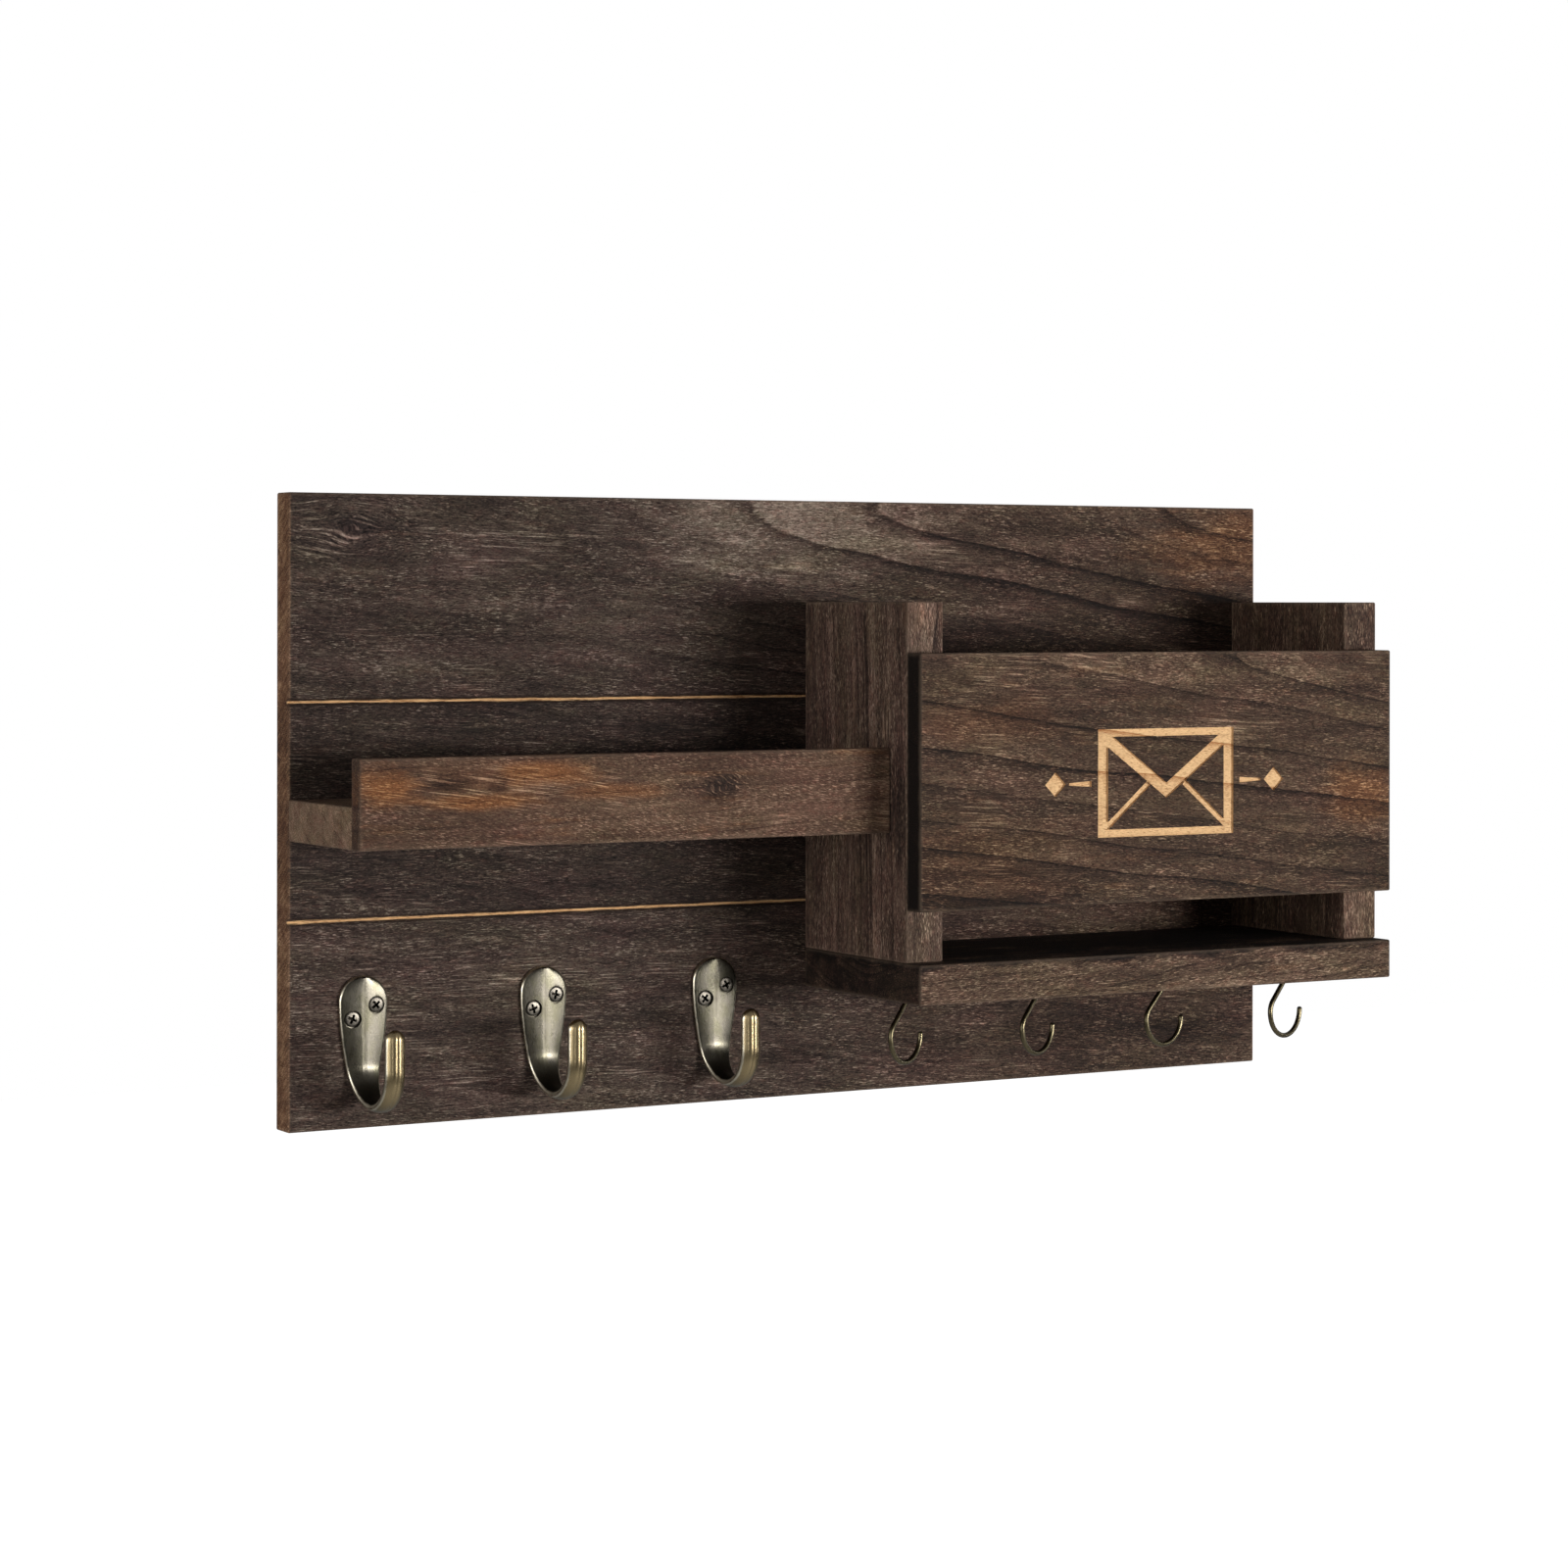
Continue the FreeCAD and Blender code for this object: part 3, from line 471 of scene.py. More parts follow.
def new_group(name, inputs, outputs):
    """An empty node group: its tree, the sockets that come in and the sockets that go out."""
    kinds = {float: "NodeSocketFloat", tuple: "NodeSocketVector"}
    group = bpy.data.node_groups.new(name, "ShaderNodeTree")
    for label, default in inputs.items():
        kind = kinds[type(default)]
        socket = group.interface.new_socket(name=label, in_out="INPUT", socket_type=kind)
        socket.default_value = default
    for label, kind in outputs.items():
        group.interface.new_socket(name=label, in_out="OUTPUT", socket_type=kinds[kind])
    tree = Tree(group)
    return tree, tree.add("NodeGroupInput").outputs, tree.add("NodeGroupOutput").inputs


def send(tree, values, sockets):
    """Joins named values to a group's outputs and gives the group."""
    for label, value in values.items():
        tree.link(value, sockets[label])
    return tree.tree


def growth_rings():
    """Growth rings of a tilted trunk.

    With r the distance from its pith, ring lines lie where (r - slope u) / width is whole.
    """
    inputs = {
        "Vector": (0.0, 0.0, 0.0),
        "Pith": (0.0, 0.0, 20.0),
        "Slope": 0.15,
        "Width": 10.0,
        "Warp": 8.0,
        "Tight": 0.0,
        "Seed": 0.0,
        "Lean": 0.0,
        "Knot": (0.0, 0.0, 0.0),
        "Knot Size": (10.0, 1.0, 0.0),
        "Uneven": 1.5,
    }
    outputs = {"Along": tuple, "Straight": tuple, "Line": float, "Ring": float, "Knot": float}
    tree, given, out = new_group("growth rings", inputs, outputs)
    # Slow, quick and fine wandering of the rings, apart for every seed.
    apart = tree.vector("MULTIPLY", tree.same(given["Seed"]), (97.0, 41.0, 23.0))
    place = tree.vector("ADD", given["Vector"], apart)
    slow = tree.noise(place, (120.0, 46.0, 46.0), 1.0)
    quick = tree.noise(place, (26.0, 9.0, 9.0), 2.0, shift=5.0)
    ripple = tree.noise(place, (5.0, 2.2, 2.2), 1.0, shift=9.0)
    sway = tree.times(tree.minus(slow, 0.5), given["Warp"])
    from_pith = tree.vector("SUBTRACT", given["Vector"], given["Pith"])
    from_pith = tree.vector("MULTIPLY", from_pith, (0.0, 1.0, 1.0))
    radius = tree.math("ADD", tree.far(from_pith), tree.times(sway, 2.0))
    u, v, w = tree.parts(given["Vector"])[:]
    # A knot is a hill that bends the fibres round it.
    knot_u, knot_v = tree.parts(given["Knot"])[:2]
    reach, bulge, depth = tree.parts(given["Knot Size"])[:]
    aside = tree.total(tree.math("DIVIDE", tree.minus(u, knot_u), reach), (ripple, 0.3), -0.15)
    across = tree.math("DIVIDE", tree.total(tree.minus(v, knot_v), (quick, 5.0), -2.5), bulge)
    gap = tree.total((tree.times(aside, aside), 1.0), tree.times(across, across))
    nearness = tree.times(tree.math("DIVIDE", 1.0, tree.total(gap, 1.0)), depth)
    moved = tree.times(tree.times(nearness, across), tree.times(bulge, -1.0))
    knot = tree.times(tree.band(gap, 1.2, 0.1), depth)
    # Rings are counted along a field, closer together where it is far out, and no two are equally wide.
    field = tree.total((u, tree.times(given["Slope"], -1.0)), radius)
    field = tree.total(field, (quick, 1.6), (ripple, 0.35))
    level = tree.total((sway, 0.7), (quick, 1.5), v, moved, (u, given["Lean"]))
    far = tree.math("MAXIMUM", tree.minus(field, 50.0), 0.0)
    tight = tree.times(tree.times(far, far), given["Tight"])
    turns = tree.math("ADD", tree.math("DIVIDE", field, given["Width"]), tight)
    wander = tree.add("ShaderNodeTexNoise", {"W": turns, "Scale": 0.8, "Detail": 1.0}, noise_dimensions="1D")
    turns = tree.total(turns, (wander.outputs[0], given["Uneven"]))
    within = tree.math("FRACT", turns)
    whole = tree.math("FLOOR", turns)
    ring = tree.add("ShaderNodeTexWhiteNoise", {"W": whole}, noise_dimensions="1D").outputs[0]
    # A ring ends in a line, sharp on one side and soft on the other, and fainter where rings are close.
    after = tree.minus(1.0, within)
    sharp = tree.math("POWER", after, 20.0)
    soft = tree.math("POWER", after, 2.2)
    fade = tree.band(tree.times(far, given["Tight"]), 0.02, 0.12, 1.0, 0.5)
    strength = tree.times(tree.total((ring, 0.7), 0.3), fade)
    line = tree.times(tree.total((sharp, 0.72), (soft, 0.28)), strength)
    lip = tree.band(within, 0.0, 0.015)
    values = {
        "Along": tree.point(u, field, w),
        "Straight": tree.point(u, level, w),
        "Line": tree.times(line, lip),
        "Ring": ring,
        "Knot": knot,
    }
    return send(tree, values, out)


def brushed_fibres():
    """Brushed fibres: stretched noises whose peaks are pale fibres and whose troughs are burnt pores."""
    inputs = {
        "Straight": (0.0, 0.0, 0.0),
        "Along": (0.0, 0.0, 0.0),
        "Length": 4.0,
        "Width": 0.4,
        "Seed": 0.0,
        "Comb": 0.0,
    }
    outputs = {"Fibre": float, "Pore": float, "Fine": float, "Coarse": float, "Height": float}
    tree, given, out = new_group("brushed fibres", inputs, outputs)
    shift = tree.times(given["Seed"], 7.3)
    grain = tree.point(given["Length"], given["Width"], given["Width"])
    seed = tree.same(shift)
    unit = tree.vector("ADD", tree.vector("DIVIDE", given["Straight"], grain), seed)
    flow = tree.vector("ADD", tree.vector("DIVIDE", given["Along"], grain), seed)
    thick = tree.noise(unit, (1.0, 1.0, 1.0), 2.0, 0.6)
    thin = tree.noise(unit, (0.4, 0.6, 0.6), 2.0, 0.6, shift=31.0)
    pores = tree.noise(unit, (0.8, 0.9, 0.9), 2.0, 0.6, shift=57.0)
    where = tree.noise(flow, (8.0, 28.0, 28.0), 2.0, shift=11.0)
    coarse = tree.noise(flow, (9.0, 7.0, 7.0), 4.0, 0.6, shift=77.0)
    # Long combed streaks take the place of the short fibres where a comb patch or chance asks for them.
    comb = tree.band(tree.noise(unit, (6.5, 1.5, 1.5), 2.5, 0.6, shift=91.0), 0.50, 0.64)
    patchy = tree.noise(flow, (9.0, 36.0, 36.0), 2.0, shift=3.0)
    combed = tree.band(tree.total(patchy, (given["Comb"], 0.14)), 0.54, 0.70)
    amount = tree.band(where, 0.34, 0.64, 0.5, 1.0)
    fibre = tree.times(tree.band(thick, 0.50, 0.70), amount)
    short = tree.times(fibre, tree.total((combed, -0.7), 1.0))
    fibre = tree.total(short, (tree.times(comb, combed), 0.72))
    pore = tree.band(pores, 0.48, 0.74)
    height = tree.total((fibre, 0.7), (thin, 0.6), (pore, -0.9), (coarse, 0.5))
    return send(tree, {"Fibre": fibre, "Pore": pore, "Fine": thin, "Coarse": coarse, "Height": height}, out)


def board_edges():
    """Nearness to a board's edges and ends.

    A point's three distances to the faces count: the second smallest, and the one along the grain.
    """
    inputs = {"Vector": (0.0, 0.0, 0.0), "Low": (0.0, 0.0, 0.0), "High": (1.0, 1.0, 1.0), "Reach": 2.0}
    tree, given, out = new_group("board edges", inputs, {"Edge": float, "End": float})
    below = tree.vector("SUBTRACT", given["Vector"], given["Low"])
    above = tree.vector("SUBTRACT", given["High"], given["Vector"])
    u, v, w = tree.parts(tree.vector("MINIMUM", below, above))[:]
    least = tree.math("MINIMUM", u, v)
    most = tree.math("MAXIMUM", u, v)
    second = tree.math("MAXIMUM", least, tree.math("MINIMUM", most, w))
    ragged = tree.noise(given["Vector"], (7.0, 5.0, 5.0), 3.0, 0.65)
    second = tree.total(second, (ragged, 2.2), -1.1)
    edge = tree.band(second, 0.0, given["Reach"], 1.0, 0.0)
    end = tree.band(u, 0.25, 1.0, 1.0, 0.0)
    return send(tree, {"Edge": edge, "End": end}, out)


def soft_patch():
    """A cloudy patch: a smooth fall from a centre, stretched by its reach and broken up by noise."""
    inputs = {
        "Vector": (0.0, 0.0, 0.0),
        "Centre": (0.0, 0.0, 0.0),
        "Reach": (10.0, 10.0, 1000.0),
        "Seed": 0.0,
    }
    tree, given, out = new_group("soft patch", inputs, {"Mask": float})
    away = tree.vector("SUBTRACT", given["Vector"], given["Centre"])
    gap = tree.far(tree.vector("DIVIDE", away, given["Reach"]))
    place = tree.vector("ADD", given["Vector"], tree.same(given["Seed"]))
    cloud = tree.noise(place, (24.0, 7.0, 7.0), 3.0, 0.6)
    mask = tree.band(tree.total(gap, (cloud, 1.6), -0.8), 0.15, 1.0, 1.0, 0.0)
    return send(tree, {"Mask": mask}, out)


def plating():
    """Antique plating: dark in the hollows, worn bright on the ridges, with fine scratches and spots."""
    inputs = {"Vector": (0.0, 0.0, 0.0), "Ridge": 0.0, "Hollow": 0.0, "Size": 1.0}
    outputs = {"Worn": float, "Dark": float, "Rough": float, "Height": float}
    tree, given, out = new_group("antique plating", inputs, outputs)
    unit = tree.vector("DIVIDE", given["Vector"], tree.same(given["Size"]))
    cloud = tree.noise(unit, (3.2, 3.2, 4.5), 3.0, 0.6)
    spots = tree.noise(unit, (0.5, 0.5, 0.5), 2.0, 0.6, shift=13.0)
    scratches = tree.noise(unit, (0.16, 0.16, 3.0), 2.0, 0.6, shift=29.0)
    worn = tree.band(tree.total(given["Ridge"], (cloud, 0.8), -0.4), 0.25, 0.85)
    dark = tree.band(tree.total(given["Hollow"], (cloud, 0.9), (spots, 0.5), -0.7), 0.2, 0.9)
    rough = tree.total(0.16, (cloud, 0.12), (scratches, 0.12), (dark, 0.2))
    height = tree.total((scratches, 0.5), (spots, 0.7))
    return send(tree, {"Worn": worn, "Dark": dark, "Rough": rough, "Height": height}, out)


def shared(build):
    """A node group that is built once and then reused."""
    name = build.__name__
    if name not in GROUPS:
        GROUPS[name] = build()
    return GROUPS[name]


def new_material(name):
    """A new material: itself, its tree, its Principled BSDF and Object coordinates in millimetres."""
    material = bpy.data.materials.new(name)
    material.use_nodes = True
    tree = Tree(material.node_tree)
    shader = next(node for node in material.node_tree.nodes if node.type == "BSDF_PRINCIPLED")
    where = tree.add("ShaderNodeTexCoord").outputs["Object"]
    return material, tree, shader, tree.vector("MULTIPLY", where, (1 / MM, 1 / MM, 1 / MM))


def coat(tree, shader, base, rough, height, depth):
    """Gives a shader its colour, its roughness and a relief of a depth."""
    tree.link(base, shader.inputs["Base Color"])
    tree.link(rough, shader.inputs["Roughness"])
    bump = tree.add("ShaderNodeBump", {"Height": height, "Distance": depth, "Strength": 1.0})
    tree.link(bump.outputs[0], shader.inputs["Normal"])


def plate_metal(tree, shader, base, finish, depth):
    """Makes a shader a metal with the roughness and the relief of its plating."""
    coat(tree, shader, base, finish["Rough"], finish["Height"], depth)
    shader.inputs["Metallic"].default_value = 1.0


# Wood


# Turns of the pattern for grain along X and for grain along Z, in degrees.
ALONG_X = (-90.0, 0.0, 0.0)
ALONG_Z = (0.0, 90.0, 0.0)
# The reach of a patch that runs through the whole board.
THROUGH = 9000.0


def patch(u, v, reach_u, reach_v, strength, w=0.0, reach_w=THROUGH):
    """A soft patch on a board: its middle and its reach, in millimetres of the pattern, and its strength."""
    return (u, v, w), (reach_u, reach_v, reach_w), strength


# A board's pattern is laid by its turn: u runs along the grain, v across the face and w through the board.
# Growth rings: pith is the trunk's middle, slope its tilt, width the width of a ring, warp how far the rings
# wander, tight how the outer rings close up, uneven how unlike the rings are, lines how dark their lines
# are, and lines_start the stretch of u over which the lines set in.
# Fibres: lean is their slope, knot the middle of a knot and knot_size its reach, its bulge and its depth,
# fine how strong the thin fibres are, pore how dark pores are, and comb has the patches of combed streaks.
# Colour: tone says how light the board is and end how light its ends are, hatch draws saw marks on the ends,
# glow lets warm wood through, warm and light have patches, tint is its hue and tint_right that at its right,
# and grooves says that the V grooves run through it. Some light patches and the front panel's ends are
# painted light and shade, as said at their boards.
# What a board doesn't state is as it is in PLAIN.
PLAIN = {
    "turn": ALONG_X, "slope": 0.04, "width": 7.0, "warp": 5.0, "tight": 0.0, "uneven": 1.5, "lean": 0.0,
    "knot": (0.0, 0.0, 0.0), "knot_size": (10.0, 1.0, 0.0), "lines": 0.3, "lines_start": None,
    "grooves": False, "fine": 0.72, "pore": 0.3, "comb": (), "warm": (), "light": (),
    "tone": -0.03, "end": 0.0, "hatch": 0.0, "glow": 0.15, "tint": (1.06, 0.95, 0.9), "tint_right": None,
}
BOARDS = {
    "back_board": {
        "seed": 3.0, "pith": (0.0, 112.0, 32.0), "slope": 0.15, "width": 12.0, "warp": 6.0, "tight": 0.0013,
        "lean": 0.03, "knot": (-186.5, 99.0, 0.0), "knot_size": (13.0, 9.0, 0.9),
        "lines": 0.5, "lines_start": (-90.0, 30.0), "grooves": True,
        "tone": -0.115, "end": 0.13, "hatch": 0.55, "glow": 0.08,
        "tint": (0.93, 0.97, 1.06), "tint_right": (1.03, 0.965, 0.94),
        "comb": (patch(-120, 100, 75, 18, 1.3), patch(-190, 99, 26, 20, 1.0), patch(-150, -75, 90, 40, 0.7)),
        "warm": (patch(198, 96, 60, 22, 0.5),),
        "light": (
            patch(0, 102, 95, 26, 0.26), patch(-130, 98, 70, 16, 0.06), patch(150, 100, 80, 20, 0.04),
            # patch(100, 58) is painted shade on the back board inside the mail box, above its front panel.
            patch(150, -95, 110, 26, -0.09), patch(100, 58, 130, 12, -0.08),
        ),
    },
    "box_front_panel": {
        "seed": 11.0, "pith": (0.0, 54.0, 104.0), "slope": 0.125, "width": 13.0, "uneven": 0.9, "lean": 0.05,
        # Its end of -0.5 paints its ends near black: painted shade of the gaps beside the side panels.
        "lines": 0.6, "tone": -0.105, "end": -0.5, "glow": 0.22, "tint": (1.06, 0.97, 0.88),
        "comb": (patch(190, 48, 30, 12, 0.8),),
        "warm": (patch(200, 0, 26, 16, 0.65), patch(30, 30, 40, 12, 0.25), patch(24, -22, 60, 26, 0.18)),
        "light": (
            patch(60, 56, 90, 24, 0.11), patch(170, 50, 50, 14, 0.08),
            patch(18, -34, 80, 22, -0.15), patch(110, -50, 130, 20, -0.23),
        ),
    },
    "key_shelf_rail": {
        "seed": 21.0, "pith": (0.0, -60.0, 60.0), "slope": 0.03, "lean": 0.14, "fine": 0.6, "pore": 0.18,
        "knot": (-71.0, 9.0, 0.0), "knot_size": (9.0, 6.0, 0.95),
        "tone": 0.04, "end": -0.1, "glow": 0.4, "tint": (1.11, 0.95, 0.88),
        "comb": (patch(-150, 10, 75, 16, 1.4),),
        "warm": (
            patch(-198, 11, 18, 10, 1.0), patch(-166, 6, 36, 5, 1.0), patch(-142, 15, 28, 8, 0.95),
            patch(-118, 8, 30, 4, 0.6), patch(-160, 12, 52, 14, 0.25),
        ),
        "light": (
            patch(-178, 12, 12, 5, -0.24), patch(-72, 9, 18, 10, -0.12), patch(-158, 11, 7, 5, -0.2),
            # patch(2, 0) lightens the rail's right end: painted light where the mail box shades it.
            patch(-100, 4, 26, 9, 0.06), patch(-180, 2, 40, 12, -0.05), patch(2, 0, 12, 40, 0.16),
        ),
    },
    "key_shelf_board": {
        "seed": 27.0, "pith": (0.0, 60.0, 80.0), "slope": 0.05, "width": 8.0,
        "tone": 0.06, "end": 0.09, "glow": 0.2, "tint": (1.08, 0.97, 0.88),
    },
    "box_bottom_board": {
        "seed": 33.0, "pith": (0.0, 10.0, 60.0), "slope": -0.10, "width": 4.5, "warp": 9.0, "lean": -0.06,
        "lines": 0.6, "tone": -0.01, "end": -0.25, "tint": (1.05, 0.97, 0.9),
        # Both light patches are painted shade: inside the mail box and on the floor of the slot under the
        # front panel.
        "light": (patch(108, -70, 170, 70, -0.3, 38, 52), patch(108, -52.5, 300, 8, -0.6)),
    },
    "box_side_left": {
        "seed": 41.0, "turn": ALONG_Z, "pith": (0.0, -160.0, 30.0),
        "lines": 0.5, "tone": -0.015, "glow": 0.12, "tint": (1.04, 0.96, 0.98),
        "warm": (patch(70, -90, 14, 12, 0.25),),
        # patch(2, -76) is a painted shadow of the key shelf rail's end on the side panel.
        "light": (patch(10, -90, 400, 9, 0.14), patch(2, -76, 30, 9, -0.24)),
    },
    "box_side_right": {"seed": 47.0, "turn": ALONG_Z, "pith": (0.0, 60.0, -230.0)},
}
# Faint changes of hue: of the board's broad zones, and of its single fibres.
ZONE_HUES = (1.06, 0.94, 1.0, 1.0), (0.97, 1.02, 0.92, 1.0)
FIBRE_HUES = (1.10, 0.93, 0.93, 1.0), (0.92, 1.0, 0.97, 1.0)
# Near black painted along the lips of the V grooves: painted shade.
PAINTED_LIP_SHADE = (0.018, 0.011, 0.008, 1.0)


RING_INPUTS = "pith", "slope", "width", "warp", "tight", "seed", "lean", "knot", "knot_size", "uneven"


def masks(tree, board, look, kind, shift):
    """The masks of a board's patches of one kind, each with its strength."""
    for centre, reach, strength in look[kind]:
        seed = look["seed"] + shift
        found = tree.use(shared(soft_patch), Vector=board, Centre=centre, Reach=reach, Seed=seed)
        yield found["Mask"], strength


def wood_pattern(tree, board, look, node):
    """The growth rings, the brushed fibres and the edges of a board."""
    wood = bpy.context.scene.organizer_wood
    spin = Euler([math.radians(degrees) for degrees in look["turn"]]).to_matrix()
    corners = np.array([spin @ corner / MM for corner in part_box(node)])
    given = {name.title(): look[name] for name in RING_INPUTS}
    rings = tree.use(shared(growth_rings), Vector=board, **given)
    fibres = tree.use(
        shared(brushed_fibres),
        Straight=rings["Straight"],
        Along=rings["Along"],
        Length=wood.fibre_length / MM,
        Width=wood.fibre_width / MM,
        Seed=look["seed"],
        Comb=tree.total(*masks(tree, board, look, "comb", 3.0)),
    )
    low, high = tuple(corners.min(0)), tuple(corners.max(0))
    reach = wood.worn_edge / MM
    edges = tree.use(shared(board_edges), Vector=board, Low=low, High=high, Reach=reach)
    return rings, fibres, edges


def wood_tone(tree, board, look, rings, fibres, edges, cloud):
    """How light the wood is: 0 is burnt and 1 is pale."""
    seed = look["seed"]
    u, v, w = tree.parts(board)[:]
    streak = tree.noise(board, (150.0, 6.0, 6.0), 2.0, 0.5, shift=seed + 60.0)
    lines = rings["Line"]
    if look["lines_start"]:
        lines = tree.times(lines, tree.band(u, *look["lines_start"], 0.18, 1.0))
    terms = [
        look["tone"] - 0.262,
        (fibres["Coarse"], 0.36),
        (fibres["Fine"], look["fine"]),
        (fibres["Fibre"], 0.5),
        (fibres["Pore"], -look["pore"]),
        (lines, -look["lines"]),
        (rings["Ring"], 0.07),
        (cloud, 0.26),
        (streak, 0.30),
        (edges["End"], look["end"]),
        (rings["Knot"], -0.12),
    ]
    if look["hatch"]:
        slant = tree.point(tree.total((v, 0.35), w), tree.total((v, -1.0), (w, 0.9)), 0.0)
        hatch = tree.total(tree.noise(slant, (7.0, 1.1, 1.0), 2.0, 0.6), -0.5)
        terms.append((tree.times(edges["End"], hatch), 0.9))
    # The light patches shift the tone; some of them are painted light and shade.
    return tree.total(*terms, *masks(tree, board, look, "light", 7.0))


def wood_colour(tree, board, look, tone, edges):
    """The wood's colour for its tone, with its hues, its warm patches and its worn edges."""
    wood = bpy.context.scene.organizer_wood
    seed = look["seed"]
    torched = {0.10: wood.burnt, 0.34: wood.dark, 0.56: wood.middle, 0.76: wood.brushed, 1.00: wood.pale}
    missed = {0.10: wood.burnt, 0.36: wood.singed, 0.64: wood.ember, 1.00: wood.bare}
    zones = tree.noise(board, (33.0, 12.0, 12.0), 2.0, 0.5, shift=seed + 50.0)
    flecks = tree.noise(board, (4.0, 1.6, 1.6), 2.0, 0.6, shift=seed + 20.0)
    shade = tree.ramp(tone, torched)
    for spread, low, high, amount, hue in (
        (zones, 0.48, 0.72, 0.7, ZONE_HUES[0]),
        (zones, 0.5, 0.3, 0.7, ZONE_HUES[1]),
        (flecks, 0.52, 0.72, 0.8, FIBRE_HUES[0]),
        (flecks, 0.48, 0.28, 0.8, FIBRE_HUES[1]),
    ):
        shade = tree.mix(tree.band(spread, low, high, 0.0, amount), shade, hue, "MULTIPLY")
    tint = (*look["tint"], 1.0)
    if look["tint_right"]:
        rightward = tree.band(tree.parts(board)[0], -60.0, 150.0)
        tint = tree.mix(rightward, tint, (*look["tint_right"], 1.0))
    shade = tree.mix(1.0, shade, tint, "MULTIPLY")

    clouds = tree.noise(board, (30.0, 5.0, 5.0), 3.0, 0.6, shift=seed + 80.0)
    glow = tree.band(clouds, 0.56, 0.76, 0.0, look["glow"])
    for mask, strength in (*masks(tree, board, look, "warm", 0.0), (edges["End"], look["hatch"])):
        glow = tree.math("MAXIMUM", glow, tree.times(mask, strength))
    shade = tree.mix(glow, shade, tree.ramp(tone, missed))
    return tree.mix(tree.times(edges["Edge"], 0.3), shade, linear(wood.brushed))


def cut_by_grooves(tree, place):
    """Where the V grooves lay light wood open, and where painted shade darkens their lips."""
    y, z = tree.parts(place)[1:]
    off = tree.math("ABSOLUTE", tree.total(tree.math("ABSOLUTE", z), -GROOVE_Z / MM))
    char = tree.noise(place, (11.0, 1.0, 0.5), 4.0, 0.7)
    floor = (BOARD_FACE + GROOVE_DEPTH) / MM
    front = tree.band(y, floor + 0.6, floor + 0.2)
    bare = tree.times(tree.band(tree.total(off, (char, 1.5), -0.75), 0.58, 0.26), front)
    return bare, tree.times(tree.band(off, 1.9, 1.1), front)


def cut_by_motif(tree, place, box):
    """Where the motif lays light wood open: behind the panel's face and inside the motif's box."""
    x, y, z = tree.parts(place)[:]
    behind = tree.total(y, -PANEL_FACE / MM)
    bare = tree.times(tree.band(behind, 0.12, 0.3), tree.band(behind, 2.0, 1.5))
    low, high = box
    for value, first, last in ((x, low[0], high[0]), (z, low[1], high[1])):
        bare = tree.times(bare, tree.band(value, first - 0.1, first))
        bare = tree.times(bare, tree.band(value, last + 0.1, last))
    return bare


def wood_material(node, motif_box=None):
    """Torched and brushed wood for one board, with light wood where a groove or the motif lays it open."""
    look = PLAIN | BOARDS[node]
    wood = bpy.context.scene.organizer_wood
    material, tree, shader, place = new_material(f"wood_{node}")
    turn = tuple(math.radians(degrees) for degrees in look["turn"])
    board = tree.add("ShaderNodeMapping", {"Vector": place, "Rotation": turn}).outputs[0]
    rings, fibres, edges = wood_pattern(tree, board, look, node)
    cloud = tree.noise(board, (52.0, 20.0, 20.0), 3.0, 0.55, shift=look["seed"])
    tone = wood_tone(tree, board, look, rings, fibres, edges, cloud)
    if look["grooves"]:
        between = tree.total(tree.math("ABSOLUTE", tree.parts(place)[2]), -GROOVE_Z / MM)
        tone = tree.total(tone, (tree.band(between, 0.3, -0.3), -0.08))
    shade = wood_colour(tree, board, look, tone, edges)

    bare = None
    if look["grooves"]:
        bare, lip = cut_by_grooves(tree, place)
        # Painted shade darkens the lips of the grooves.
        shade = tree.mix(tree.times(lip, 0.6), shade, PAINTED_LIP_SHADE)
    if motif_box:
        bare = cut_by_motif(tree, place, motif_box)
    if bare is not None:
        grain = tree.total((fibres["Fine"], 0.9), (fibres["Pore"], 0.5), (fibres["Coarse"], 0.5), -0.4)
        grain = tree.band(tree.total(grain, (rings["Line"], 0.9)), 0.2, 0.95)
        shade = tree.mix(bare, shade, tree.mix(grain, linear(wood.cut), linear(wood.cut_grain)))
    rough = tree.total(0.66, (fibres["Fibre"], -0.12), (fibres["Pore"], 0.14), (cloud, 0.08))
    height = tree.total(fibres["Height"], (rings["Line"], -1.1))
    coat(tree, shader, shade, rough, height, wood.relief)
    shader.inputs["Specular IOR Level"].default_value = 0.12
    return material


class ORGANIZER_OT_boards(bpy.types.Operator):
    """Gives each board of the back, the key shelf and the mail box its torched and brushed wood"""

    bl_idname = "organizer.boards"
    bl_label = "Boards"

    def execute(self, context):
        for node in BOARDS:
            if node != "box_front_panel":
                dress(node, wood_material(node))
        return {"FINISHED"}


# Front panel


def prism(corners, near, far):
    """Two rings of points for an upright prism: the same corners at two depths."""
    corners = np.asarray(corners, float)
    rings = np.empty((2, len(corners), 3))
    rings[:, :, 0] = corners[:, 0]
    rings[:, :, 2] = corners[:, 1]
    rings[0, :, 1] = near
    rings[1, :, 1] = far
    return rings


def stroke(start, end, width, end_width=None):
    """Four corners of a straight stroke that may taper: both ends stand square to its line."""
    start, end = np.asarray(start, float), np.asarray(end, float)
    along = (end - start) / np.linalg.norm(end - start)
    side = np.array([-along[1], along[0]])
    half, last = width / 2, (width if end_width is None else end_width) / 2
    return [start - side * half, end - side * last, end + side * last, start + side * half]


